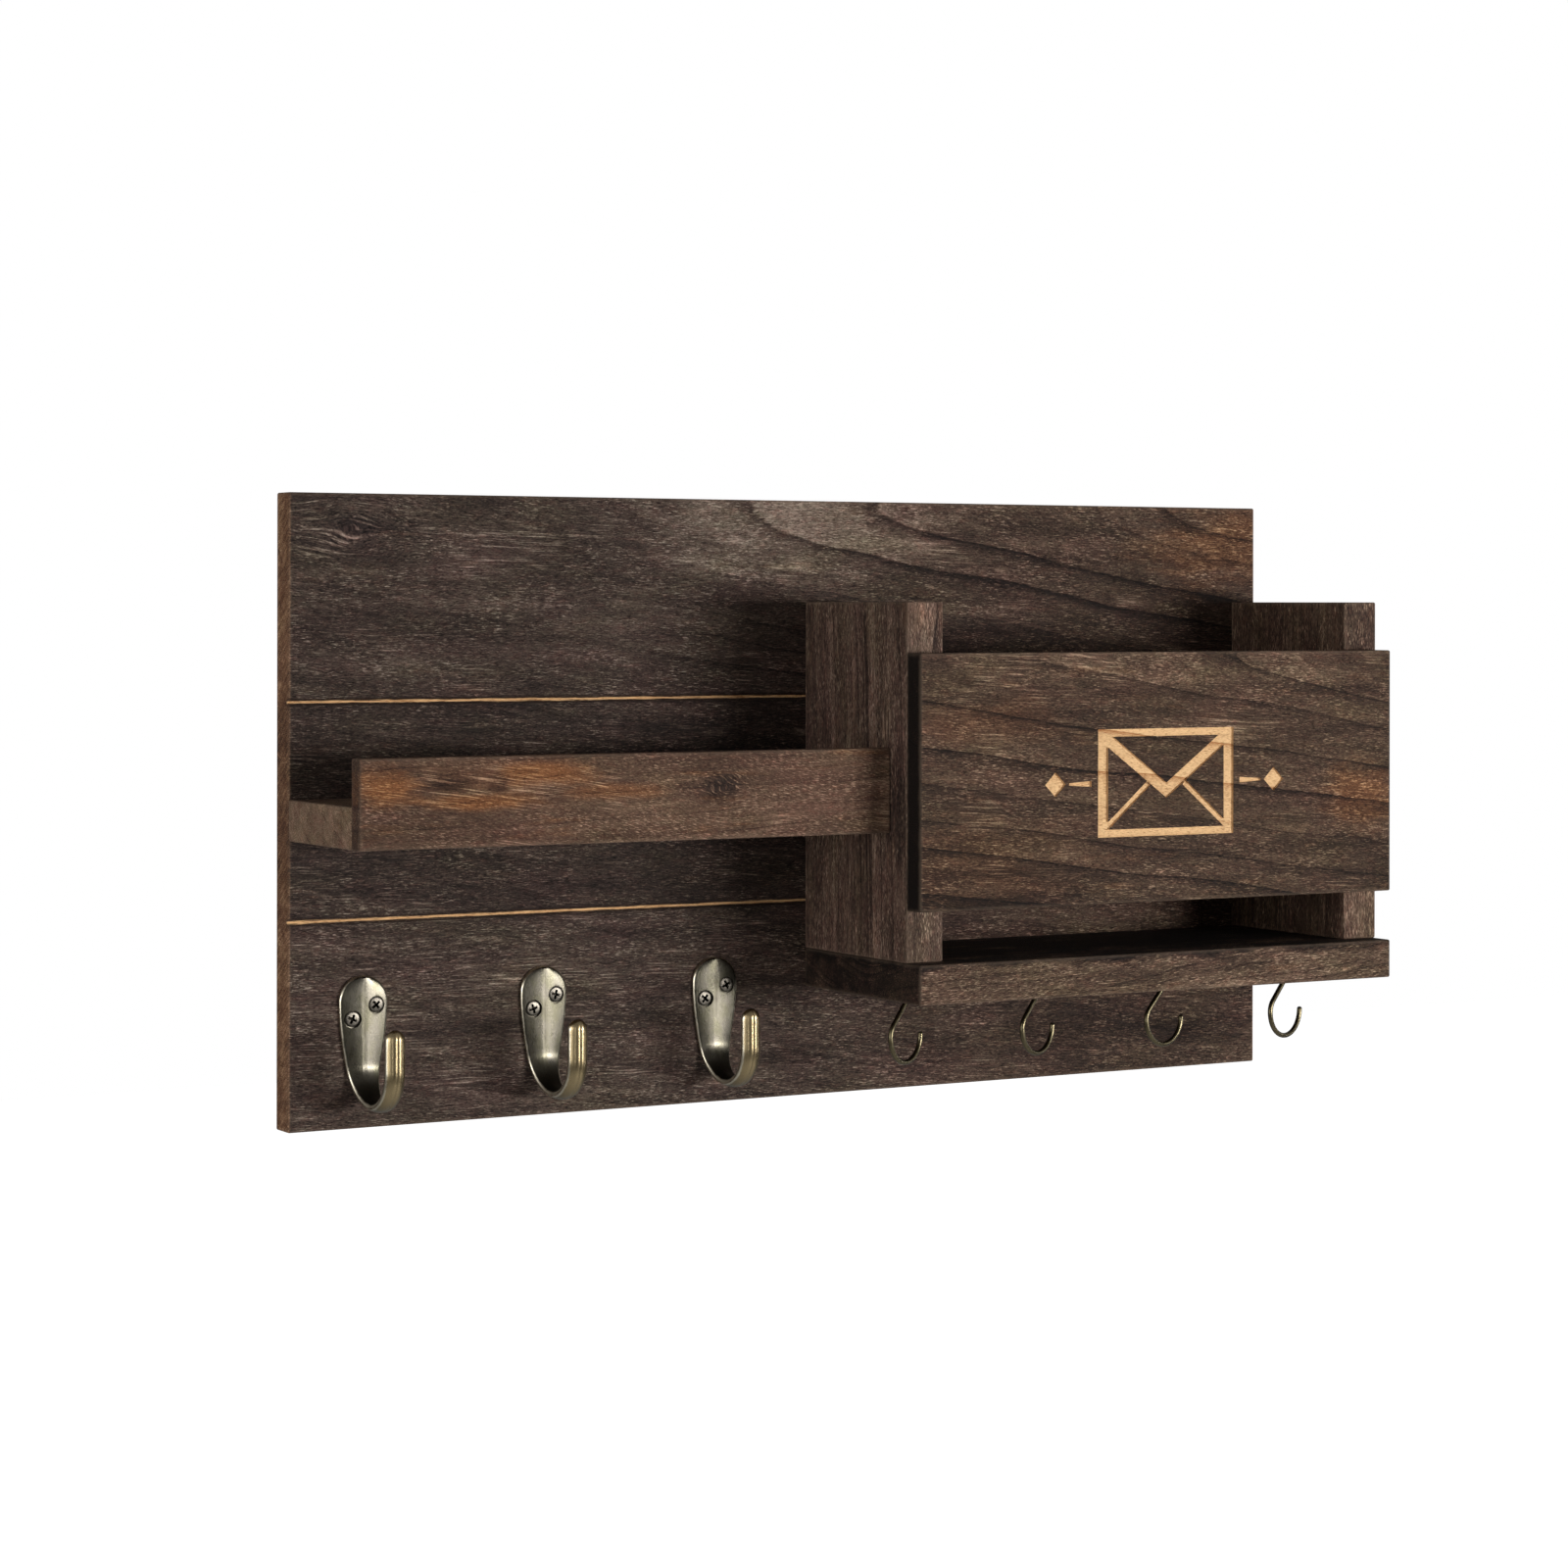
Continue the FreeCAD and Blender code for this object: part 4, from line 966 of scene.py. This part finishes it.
def clip_to_box(corners, width, height):
    """Clips a convex outline to a box about the origin, one side of the box after the other."""
    for axis, limit in ((0, width / 2), (1, height / 2)):
        for sign in (1.0, -1.0):
            kept = []
            for here, there in zip(corners, corners[1:] + corners[:1]):
                a, b = sign * here[axis] - limit, sign * there[axis] - limit
                if a <= 0:
                    kept.append(here)
                if (a < 0 < b) or (b < 0 < a):
                    kept.append(here + (there - here) * a / (a - b))
            corners = kept
    return corners


def rectangle(left, bottom, right, top):
    """Four corners of an upright rectangle."""
    return [np.array(corner) for corner in ((left, bottom), (right, bottom), (right, top), (left, top))]


def envelope_outlines(motif):
    """Outlines of the motif about its middle: an envelope's frame, flap and folds and two side ornaments."""
    broad, thin, size = motif.stroke, motif.hairline, motif.diamond
    x, z = motif.width / 2, motif.height / 2
    inner_x, inner_z = x - broad / 2, z - broad / 2
    tip = z - motif.flap_drop
    rail = broad * 0.62
    outlines = [
        rectangle(-x, z - rail, x, z),
        rectangle(-x, -z, x, rail - z),
        rectangle(-x, -z, broad - x, z),
        rectangle(x - broad, -z, x, z),
    ]
    # The flap's strokes cross just past its tip, and the folds end short of the flap.
    for sign in (-1.0, 1.0):
        flap = stroke((sign * inner_x, inner_z), (-sign * broad * 0.25, tip - broad * 0.2), broad)
        fold = stroke((sign * inner_x, -inner_z), (sign * x * 0.26, tip + broad * 0.6), thin)
        outlines += [clip_to_box(line, motif.width, motif.height) for line in (flap, fold)]
        middle = sign * (motif.wing / 2 - size)
        diamond = (middle - size, 0.0), (middle, -size), (middle + size, 0.0), (middle, size)
        outlines.append([np.array(corner) for corner in diamond])
        start, end = sign * (x + motif.gap), middle - sign * (size + motif.gap / 2)
        outlines.append(stroke((start, 0.0), (end, 0.0), thin, thin * 0.4))
    return outlines


class ORGANIZER_OT_front_panel(bpy.types.Operator):
    """Cuts the envelope motif into the front panel of the mail box and gives the panel its wood"""

    bl_idname = "organizer.front_panel"
    bl_label = "Front panel"

    def execute(self, context):
        motif = context.scene.organizer_motif
        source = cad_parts["box_front_panel"].data.copy()
        source.name = "box_front_panel_engraved"
        outward(source)
        centre = np.array([motif.centre_x, motif.centre_z])
        blocks = bmesh.new()
        for outline in envelope_outlines(motif):
            corners = np.array(outline) + centre
            block = skin("block", prism(corners, PANEL_FACE - PROUD, PANEL_FACE + motif.depth))
            blocks.from_mesh(block)
            bpy.data.meshes.remove(block)
        cutter = bpy.data.meshes.new("motif")
        blocks.to_mesh(cutter)
        blocks.free()
        half = np.array([motif.wing, motif.height]) / 2
        motif_box = ((centre - half) / MM, (centre + half) / MM)
        panel = carve(source, cutter)
        wood = wood_material("box_front_panel", motif_box)
        add_piece("engraved_front_panel", panel, wood, ["box_front_panel"])
        return {"FINISHED"}


# Coat hooks


def half_width(hook, along):
    """Half the casting's width at a distance along its back line, before its ends are rounded."""
    taper = np.clip((along - hook.plate_half_width) / hook.taper_length, 0.0, 1.0)
    narrowing = (1.0 + np.cos(math.pi * taper)) / 2
    return hook.prong_half_width + (hook.plate_half_width - hook.prong_half_width) * narrowing


def casting(hook, x):
    """One coat hook.

    A point is found by its distance along the back line and by s, from -1 to 1 across. The back line
    runs down the plate, half round the bend and up the prong. The front stands edge plus ridge times
    (1 - |s|) in front of it, the outside stands ridge times (1 - |s|) behind it, and both drop along
    a quarter circle towards the outline.
    """
    plate, prong, radius = hook.plate_half_width, hook.prong_half_width, hook.bend_radius
    bend_end = hook.plate_length + math.pi * radius
    whole = bend_end + hook.prong_length
    quarter = np.linspace(0.0, math.pi / 2, 15)
    stations = (
        plate * (1.0 - np.cos(quarter)),
        np.linspace(plate, hook.plate_length, 16),
        np.linspace(hook.plate_length, bend_end, 44),
        np.linspace(bend_end, whole - prong, 9),
        whole - prong * (1.0 - np.sin(quarter)),
    )
    along = np.unique(np.concatenate(stations).round(9))[:, None]
    left = whole - along
    top_gap, tip_gap = np.clip(1.0 - along / plate, 0.0, 1.0), np.clip(1.0 - left / prong, 0.0, 1.0)
    width = half_width(hook, along) * np.sqrt(1.0 - top_gap**2) * np.sqrt(1.0 - tip_gap**2)
    s = np.sin(np.linspace(-math.pi / 2, math.pi / 2, 37))[None, :]
    across = s * width
    inset = width - np.abs(across)
    inset = np.where(along < plate, plate - np.hypot(plate - along, across), inset)
    inset = np.where(left < prong, prong - np.hypot(prong - left, across), inset)
    turn = np.clip((along - hook.plate_length) / radius, 0.0, math.pi)
    curl = (1.0 - np.cos(turn)) / 2
    # full falls to 0 at the ends; across the casting there is a rounded ridge with a lobe on each side.
    full = np.clip(width / prong, 0.0, 1.0)
    ridge_round, end_edge, plate_lobe, flat_back = 0.04, 0.45, 0.16, 0.4
    peak = 1.0 - np.hypot(s, ridge_round)
    lobe = np.sin(math.pi * np.abs(s))
    edge = hook.edge * (end_edge + (1.0 - end_edge) * full)

    def quarter_drop(rim):
        """How far a surface drops near the outline, along a quarter circle of radius rim."""
        return rim * (1.0 - np.sqrt(1.0 - np.clip(1.0 - inset / rim, 0.0, 1.0) ** 2))

    # The fine line fades in below the top and out before the bend.
    line = hook.crease * np.exp(-((across / hook.crease_width) ** 2)) * np.clip(1.2 - 2.0 * curl, 0.0, 1.0)
    line = line * np.clip(along / plate, 0.0, 1.0)
    swell = hook.plate_ridge * (peak + plate_lobe * lobe)
    front = edge + swell * full - line - quarter_drop(0.5 * hook.edge)
    rear = quarter_drop(hook.edge * 0.3) * (flat_back + (1.0 - flat_back) * curl)
    rear = rear - full * curl * (hook.prong_ridge * peak + hook.prong_lobe * lobe)
    rear = rear + hook.crease * 1.6 * curl * full * np.exp(-((across / hook.seam_width) ** 2))

    def lift(height, across):
        """Points at a height over the back line."""
        out = radius * (1.0 - np.cos(turn))
        down = np.minimum(along, hook.plate_length) + radius * np.sin(turn)
        down = down - np.maximum(along - bend_end, 0.0)
        y = BOARD_FACE - out - height * np.cos(turn)
        z = hook.top_z - down + height * np.sin(turn)
        return np.stack([x + across + 0 * z, y, z], axis=-1)

    rings = np.concatenate([lift(front, across), lift(rear, across)[:, ::-1]], axis=1)
    return skin("coat_hook", rings)


def lathe(name, profile, columns=40):
    """A turned solid about Y: each (radius, y) of the profile is swept round a circle."""
    profile = np.asarray(profile, float)
    around = np.linspace(0.0, 2 * math.pi, columns, endpoint=False)
    radius, y = profile[:, :1], profile[:, 1:]
    rings = np.stack([radius * np.cos(around), y + 0 * around, radius * np.sin(around)], axis=-1)
    return skin(name, rings)


def seat_spots(hook, x):
    """The places of the two screws of one coat hook."""
    return [
        (x + hook.screw_side, hook.top_z - hook.screw_high),
        (x - hook.screw_side, hook.top_z - hook.screw_low),
    ]


def seat_pocket(hook):
    """What one screw takes from a coat hook: a ring seat in its front and a hole through it."""
    ring, hole = hook.seat_radius, hook.hole_radius
    front, back = BOARD_FACE - 3 * PROUD, BOARD_FACE + PROUD / 2
    floor, lip = BOARD_FACE - hook.seat_floor, BOARD_FACE - hook.seat_lip
    profile = (0.0, front), (ring, front), (ring, floor), (hole, lip), (hole, back), (0.0, back)
    return lathe("pocket", profile)


def paint_wear_and_rim_highlight(mesh, hook, x):
    """Stores how far each point is worn and painted with a rim highlight, hollow and gilded, from its place
    on the casting.
    """
    sizes = (0.9, 1.2, 2.6, 1.6, 0.4)
    rim_width, bend_depth, seat_start, seat_fade, crease_reach = (size * MM for size in sizes)
    points = points_of(mesh)
    plate, radius = hook.plate_half_width, hook.bend_radius
    aside = points[:, 0] - x
    down = hook.top_z - points[:, 2]
    forward = BOARD_FACE - points[:, 1]
    below = down - hook.plate_length
    rising = forward > radius
    flat = forward < radius / 2
    turn = np.where(below > 0, np.arctan2(below, radius - forward), np.where(rising, math.pi, 0.0))
    beside = np.where(rising, math.pi * radius - below, below)
    along = hook.plate_length + np.where(below > 0, radius * turn, beside)
    round_top = np.hypot(np.clip(plate - down, 0.0, None), aside)
    from_top = plate - np.where(forward < radius, round_top, 0.0)
    inset = np.minimum(half_width(hook, along) - np.abs(aside), from_top)
    rim = 1.0 - np.clip(inset / rim_width, 0.0, 1.0)
    depth = radius - np.hypot(below, forward - radius)
    inside = np.clip(depth / bend_depth, 0.0, 1.0) * np.clip(np.sin(turn), 0.0, 1.0)
    gaps = [np.hypot(points[:, 0] - seat_x, points[:, 2] - seat_z) for seat_x, seat_z in seat_spots(hook, x)]
    seat = np.clip(1.0 - (np.min(gaps, axis=0) - seat_start) / seat_fade, 0.0, 1.0) * flat
    crease = np.exp(-((aside / crease_reach) ** 2)) * (below < 0) * flat
    values = {
        # The rim is worn bright and also carries a painted highlight of its rounded edge.
        "ridge": rim,
        "hollow": np.clip(inside * 1.1 + seat * 0.8 + crease * 0.45, 0.0, 1.0),
        "gold": np.clip((forward - radius * 0.9) / radius, 0.0, 1.0),
    }
    for name, value in values.items():
        mesh.attributes.new(name, "FLOAT", "POINT").data.foreach_set("value", value.astype(np.float32))


def casting_material():
    """Antique brass plating: grey on the plate, golden on the prong, worn bright with a painted highlight on
    rims, dark in the bend.
    """
    hook = bpy.context.scene.organizer_coat_hooks
    material, tree, shader, place = new_material("antique_casting")
    names = ("ridge", "hollow", "gold")
    stored = [tree.add("ShaderNodeAttribute", attribute_name=name).outputs["Fac"] for name in names]
    ridge, hollow, gold = stored
    finish = tree.use(shared(plating), Vector=place, Ridge=ridge, Hollow=hollow, Size=1.0)
    tarnish = tree.noise(place, (4.0, 4.0, 7.0), 3.0, 0.6, shift=3.0)
    base = tree.mix(tree.band(tarnish, 0.35, 0.7), linear(hook.plating), linear(hook.tarnish))
    base = tree.mix(tree.times(gold, 0.85), base, linear(hook.gold))
    base = tree.mix(finish["Dark"], base, linear(hook.hollow))
    # Rims: worn bright plating and a painted highlight.
    base = tree.mix(finish["Worn"], base, linear(hook.polish_and_highlight))
    plate_metal(tree, shader, base, finish, 0.022 * MM)
    return material


class ORGANIZER_OT_coat_hooks(bpy.types.Operator):
    """Casts the three coat hooks, cuts the ring seats of their screws and plates them"""

    bl_idname = "organizer.coat_hooks"
    bl_label = "Coat hooks"

    def execute(self, context):
        hook = context.scene.organizer_coat_hooks
        material = casting_material()
        pocket = seat_pocket(hook)
        for i, side in enumerate(("left", "middle", "right")):
            x = hook.first_x + i * hook.pitch
            moves = [(np.eye(3), (seat_x, 0.0, seat_z)) for seat_x, seat_z in seat_spots(hook, x)]
            mesh = carve(casting(hook, x), copies("pockets", pocket, moves))
            paint_wear_and_rim_highlight(mesh, hook, x)
            add_piece(f"coat_hook_casting_{side}", mesh, material, [f"coat_hook_{side}"], 38)
        bpy.data.meshes.remove(pocket)
        return {"FINISHED"}


# Screws


def cross_screw(screw, head, shank, reach, point, dome=0.0):
    """A countersunk screw along Y with its face at the origin: a turned profile less a tapered cross."""
    scale = head / screw.head_radius
    rise = np.linspace(0.0, 1.0, 7)
    face = [(head * 0.93 * t, -dome * (1.0 - t**2)) for t in rise]
    cone = head - shank
    profile = face + [
        (head, screw.bevel),
        (head, screw.rim),
        (shank, screw.rim + cone),
        (shank, reach - point),
        (0.0, reach),
    ]
    arm, half = screw.slot_reach * scale, screw.slot_width * scale / 2
    plus = [(arm, -half), (arm, half), (half, half), (half, arm), (-half, arm), (-half, half)]
    plus += [(-x, -z) for x, z in plus]
    plus = np.array(plus)
    # The cross narrows to this share of its width at its floor.
    floor_share = 0.45
    depths = ((-PROUD, 1.0), (0.0, 1.0), (screw.slot_depth * scale, floor_share))
    rings = [np.stack([plus[:, 0] * part, np.full(12, y), plus[:, 1] * part], axis=-1) for y, part in depths]
    return carve(lathe("screw", profile), skin("cross", np.stack(rings)))


def islands(node):
    """The low and high corners of each separate solid of a CAD node, in the frame."""
    work = bmesh.new()
    work.from_mesh(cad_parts[node].data)
    bmesh.ops.remove_doubles(work, verts=work.verts, dist=1e-7)
    work.verts.ensure_lookup_table()
    unseen, found = set(work.verts), []
    while unseen:
        front, island = [unseen.pop()], []
        while front:
            vertex = front.pop()
            island.append(vertex.co[:])
            for edge in vertex.link_edges:
                other = edge.other_vert(vertex)
                if other in unseen:
                    unseen.remove(other)
                    front.append(other)
        corners = np.array(island)
        found.append((corners.min(0), corners.max(0)))
    work.free()
    return sorted(found, key=lambda pair: pair[0].round(5).tolist())


# Near black painted inside a cross recess: painted shade.
PAINTED_RECESS_SHADE = (0.006, 0.005, 0.004, 1.0)


def screw_material(name, metal, size, face=None):
    """Plated screw: brushed across the head, with painted shade where the cross is cut behind its face."""
    material, tree, shader, place = new_material(name)
    finish = tree.use(shared(plating), Vector=place, Ridge=0.35, Hollow=0.25, Size=size)
    bright = tuple(min(value * 1.35, 1.0) for value in metal)
    deep = tuple(value * 0.45 for value in metal)
    base = tree.mix(finish["Worn"], linear(metal), linear(bright))
    base = tree.mix(tree.times(finish["Dark"], 0.8), base, linear(deep))
    if face is not None:
        behind = tree.total(tree.parts(place)[1], -face / MM)
        # Painted shade inside the cross, behind the head's face.
        base = tree.mix(tree.band(behind, 0.12, 0.45), base, PAINTED_RECESS_SHADE)
    plate_metal(tree, shader, base, finish, 0.02 * MM)
    return material


def set_screws(node, name, material, size, spin, turns, dome=0.0):
    """Cross-slot screws for a CAD node's solids: spin turns Y to the way in, and each cross has its turn."""
    inward = np.asarray(spin)[:, 1]
    solids = islands(node)
    reach = abs(np.dot(solids[0][1] - solids[0][0], inward))
    head, shank, point = size
    one = cross_screw(bpy.context.scene.organizer_screws, head, shank, reach, point, dome)
    moves = []
    for turn, (low, high) in zip(turns, solids):
        cross = Matrix.Rotation(math.radians(turn), 3, "Y")
        moves.append((spin @ cross, (low + high - inward * reach) / 2))
    mesh = copies(name, one, moves)
    bpy.data.meshes.remove(one)
    add_piece(name, mesh, material, [node], 30)


class ORGANIZER_OT_hook_screws(bpy.types.Operator):
    """Turns the cross-slot screws of the coat hooks"""

    bl_idname = "organizer.hook_screws"
    bl_label = "Coat hook screws"

    def execute(self, context):
        screw = context.scene.organizer_screws
        node, name = "coat_hook_screws", "coat_hook_cross_screws"
        bronze = screw_material("bronze_screw", screw.bronze, 0.8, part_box(node)[0].y)
        size = (screw.head_radius, screw.shank, screw.point)
        set_screws(node, name, bronze, size, Matrix.Identity(3), SLOT_TURNS, screw.dome)
        return {"FINISHED"}


# Cup hooks


def sweep(name, path, radii, columns=20):
    """A round wire along a flat path in XZ: each ring stands square to the path, with its own radius."""
    step = np.gradient(path, axis=0)
    along = step / np.linalg.norm(step, axis=1, keepdims=True)
    side = np.array([0.0, 1.0, 0.0])
    normal = np.cross(along, side)
    around = np.linspace(0.0, 2 * math.pi, columns, endpoint=False)
    spread = np.cos(around)[None, :, None] * normal[:, None, :] + np.sin(around)[None, :, None] * side
    return skin(name, path[:, None, :] + spread * radii[:, None, None])


def cup_path(cup):
    """Middle line of a cup hook from its tip.

    An arc under the loop, a smaller shoulder, a straight lean, a neck and the shank.
    """
    loop, drop, lean = cup.loop_radius, -cup.loop_drop, cup.lean
    shoulder, neck = cup.shoulder * loop, cup.neck * loop

    def arc(x, z, radius, first, last, steps):
        """Points on an arc in XZ."""
        turn = np.linspace(first, last, steps)
        return np.stack([x + radius * np.cos(turn), 0 * turn, z + radius * np.sin(turn)], axis=-1)

    under = arc(0.0, drop, loop, math.radians(4.0), -math.pi, 60)
    over = arc(shoulder - loop, drop, shoulder, math.pi, math.pi - lean, 16)
    bend_x = -neck * (1.0 - math.cos(lean))
    bend_z = over[-1, 2] + bend_x - over[-1, 0]
    neck_z = bend_z + neck * math.sin(lean)
    straight = np.linspace(over[-1], (bend_x, 0.0, bend_z), 8)
    upper = arc(-neck, neck_z, neck, -lean, 0.0, 12)
    shank = np.linspace(upper[-1], (0.0, 0.0, cup.shank), 24)
    return np.concatenate([under, over[1:], straight[1:], upper[1:], shank[1:]])


def wire_material(cup):
    """Dark plated wire, rubbed brighter in cloudy patches."""
    material, tree, shader, place = new_material("plated_wire")
    finish = tree.use(shared(plating), Vector=place, Ridge=0.2, Hollow=0.3, Size=0.9)
    base = tree.mix(finish["Dark"], linear(cup.bronze), linear(tuple(value * 0.5 for value in cup.bronze)))
    base = tree.mix(finish["Worn"], base, linear(cup.worn))
    plate_metal(tree, shader, base, finish, 0.04 * MM)
    return material


class ORGANIZER_OT_cup_hooks(bpy.types.Operator):
    """Bends the four cup hooks under the mail box"""

    bl_idname = "organizer.cup_hooks"
    bl_label = "Cup hooks"

    def execute(self, context):
        cup = context.scene.organizer_cup_hooks
        material = wire_material(cup)
        path = cup_path(cup)
        travelled = np.concatenate([[0.0], np.cumsum(np.linalg.norm(np.diff(path, axis=0), axis=1))])
        # The wire's tip is rounded by this share of its radius, and its other end is a point.
        rounding = 0.45
        near_tip = np.clip(1.0 - travelled / (rounding * cup.wire_radius), 0.0, 1.0)
        near_end = np.clip(1.0 - (travelled[-1] - travelled) / cup.point, 0.0, 1.0)
        radii = cup.wire_radius * (1.0 - rounding * near_tip**2) * (1.0 - 0.8 * near_end)
        low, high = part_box("box_bottom_board")
        ends = low.x + cup.margin, high.x - cup.margin
        wire = sweep("wire", path, radii)
        for i, turn in enumerate(CUP_TURNS):
            x = ends[0] + (ends[1] - ends[0]) * i / (len(CUP_TURNS) - 1)
            spin = Matrix.Rotation(math.radians(turn), 3, "Z")
            mesh = copies(f"cup_hook_wire_{i + 1}", wire, [(spin, (x, cup.y, low.z))])
            add_piece(f"cup_hook_wire_{i + 1}", mesh, material, [f"cup_hook_{i + 1}"], 40)
        bpy.data.meshes.remove(wire)
        return {"FINISHED"}


# Hidden hardware


class ORGANIZER_OT_back_hardware(bpy.types.Operator):
    """Turns the screws of the back and the mail box and finishes the keyhole plates and the pins"""

    bl_idname = "organizer.back_hardware"
    bl_label = "Back hardware"

    def execute(self, context):
        screw = context.scene.organizer_screws
        steel = screw_material("zinc_screw", screw.zinc, 1.4)
        plate = screw_material("zinc_plate", screw.zinc, 3.0)
        for node in ("front_panel_pins", "rail_pins"):
            dress(node, steel)
        for node in ("hanger_plate_left", "hanger_plate_right"):
            dress(node, plate)
        wood = (screw.wood_head, screw.wood_shank, screw.wood_point)
        small = (screw.hanger_head, screw.hanger_shank, screw.hanger_point)
        forward, upward = Matrix.Rotation(math.pi, 3, "Z"), Matrix.Rotation(math.pi / 2, 3, "X")
        for node, name, size, spin in (
            ("back_screws", "back_cross_screws", wood, forward),
            ("hanger_screws", "hanger_cross_screws", small, forward),
            ("box_bottom_screws", "bottom_cross_screws", wood, upward),
        ):
            set_screws(node, name, steel, size, spin, count(FIRST_BACK_SLOT, NEXT_BACK_SLOT))
        return {"FINISHED"}


# Stage


def add_camera(stage):
    """A level camera with its picture shifted, because upright edges are parallel in the photo."""
    data = bpy.data.cameras.new("camera")
    data.sensor_width = 36.0
    data.lens = stage.lens
    data.shift_y = stage.rise
    camera = add_object("camera", data)
    camera.location = stage.camera
    tilt = Euler((math.pi / 2, 0.0, -stage.yaw)).to_matrix()
    camera.rotation_euler = (tilt @ Matrix.Rotation(stage.roll, 3, "Z")).to_euler()
    bpy.context.scene.camera = camera


def add_lamp(name, place, watts, size, aim):
    """A soft rectangular lamp that faces a point."""
    data = bpy.data.lights.new(name, "AREA")
    data.shape = "RECTANGLE"
    data.size, data.size_y = size
    data.energy = watts
    lamp = add_object(name, data)
    lamp.location = place
    lamp.rotation_euler = (aim - lamp.location).to_track_quat("-Z", "Y").to_euler()


def world_strength(tree, stage):
    """White for a ray from the camera, mirrored for a ray from metal and ambient for any other ray."""
    path = tree.add("ShaderNodeLightPath").outputs
    seen = tree.math("MAXIMUM", path["Is Camera Ray"], path["Is Transmission Ray"])
    glossy = tree.band(path["Is Glossy Ray"], 0.0, 1.0, stage.ambient, stage.mirrored)
    return tree.math("MAXIMUM", seen, glossy)


def add_world(stage):
    """A white world with a strength of its own for each kind of ray."""
    world = bpy.data.worlds.new("studio")
    world.use_nodes = True
    bpy.context.scene.world = world
    tree = Tree(world.node_tree)
    back = next(node for node in world.node_tree.nodes if node.type == "BACKGROUND")
    back.inputs["Color"].default_value = WHITE
    tree.link(world_strength(tree, stage), back.inputs["Strength"])


def add_floor(stage):
    """A pale floor far below the object, white to the camera."""
    reach = stage.floor_reach
    grid = np.array([(-reach, -reach), (reach, -reach), (reach, reach), (-reach, reach)])
    corners = np.column_stack([grid, np.full(4, -stage.floor_drop)])
    mesh = bpy.data.meshes.new("floor")
    mesh.from_pydata(corners.tolist(), [], [(0, 1, 2, 3)])
    floor = add_object("floor", mesh)
    material, tree, shader, place = new_material("pale_floor")
    mottle = tree.noise(place, (400.0, 400.0, 400.0), 3.0)
    tree.link(tree.mix(mottle, (0.80, 0.80, 0.79, 1.0), (0.86, 0.86, 0.85, 1.0)), shader.inputs["Base Color"])
    shader.inputs["Roughness"].default_value = 0.9
    shader.inputs["Emission Color"].default_value = WHITE
    tree.link(tree.add("ShaderNodeLightPath").outputs["Is Camera Ray"], shader.inputs["Emission Strength"])
    mesh.materials.append(material)
    floor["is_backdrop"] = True


class ORGANIZER_OT_stage(bpy.types.Operator):
    """Sets the camera, two soft lamps, two narrow lamps, a white world and a pale floor"""

    bl_idname = "organizer.stage"
    bl_label = "Stage"

    def execute(self, context):
        stage = context.scene.organizer_stage
        context.scene.view_settings.view_transform = "Standard"
        add_camera(stage)
        low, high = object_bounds()
        watts = {"key": stage.key_power, "fill": stage.fill_power}
        for name, size in LAMP_SIZES.items():
            add_lamp(name, getattr(stage, name), watts.get(name, stage.strip_power), size, (low + high) / 2)
        add_world(stage)
        add_floor(stage)
        return {"FINISHED"}


class ORGANIZER_PT_pieces(bpy.types.Panel):
    """Lists the pieces of the mail organizer"""

    bl_label = TAB
    bl_space_type = "VIEW_3D"
    bl_region_type = "UI"
    bl_category = TAB

    def draw(self, context):
        for operator in OPERATORS:
            self.layout.operator(operator.bl_idname)


SETTINGS = {
    "organizer_wood": WoodSettings,
    "organizer_motif": MotifSettings,
    "organizer_coat_hooks": CoatHookSettings,
    "organizer_screws": ScrewSettings,
    "organizer_cup_hooks": CupHookSettings,
    "organizer_stage": StageSettings,
}
OPERATORS = (
    ORGANIZER_OT_boards,
    ORGANIZER_OT_front_panel,
    ORGANIZER_OT_coat_hooks,
    ORGANIZER_OT_hook_screws,
    ORGANIZER_OT_cup_hooks,
    ORGANIZER_OT_back_hardware,
    ORGANIZER_OT_stage,
)


def register():
    """Registers the settings, the operators and the panel."""
    for name, group in SETTINGS.items():
        bpy.utils.register_class(group)
        setattr(bpy.types.Scene, name, bpy.props.PointerProperty(type=group))
    for item in (*OPERATORS, ORGANIZER_PT_pieces):
        bpy.utils.register_class(item)


def unregister():
    """Takes the panel, the operators and the settings away again."""
    for item in (ORGANIZER_PT_pieces, *reversed(OPERATORS)):
        bpy.utils.unregister_class(item)
    for name, group in reversed(SETTINGS.items()):
        delattr(bpy.types.Scene, name)
        bpy.utils.unregister_class(group)


def main():
    """Builds every piece in order."""
    register()
    for operator in OPERATORS:
        space, name = operator.bl_idname.split(".")
        getattr(getattr(bpy.ops, space), name)()


if __name__ == "__main__":
    main()
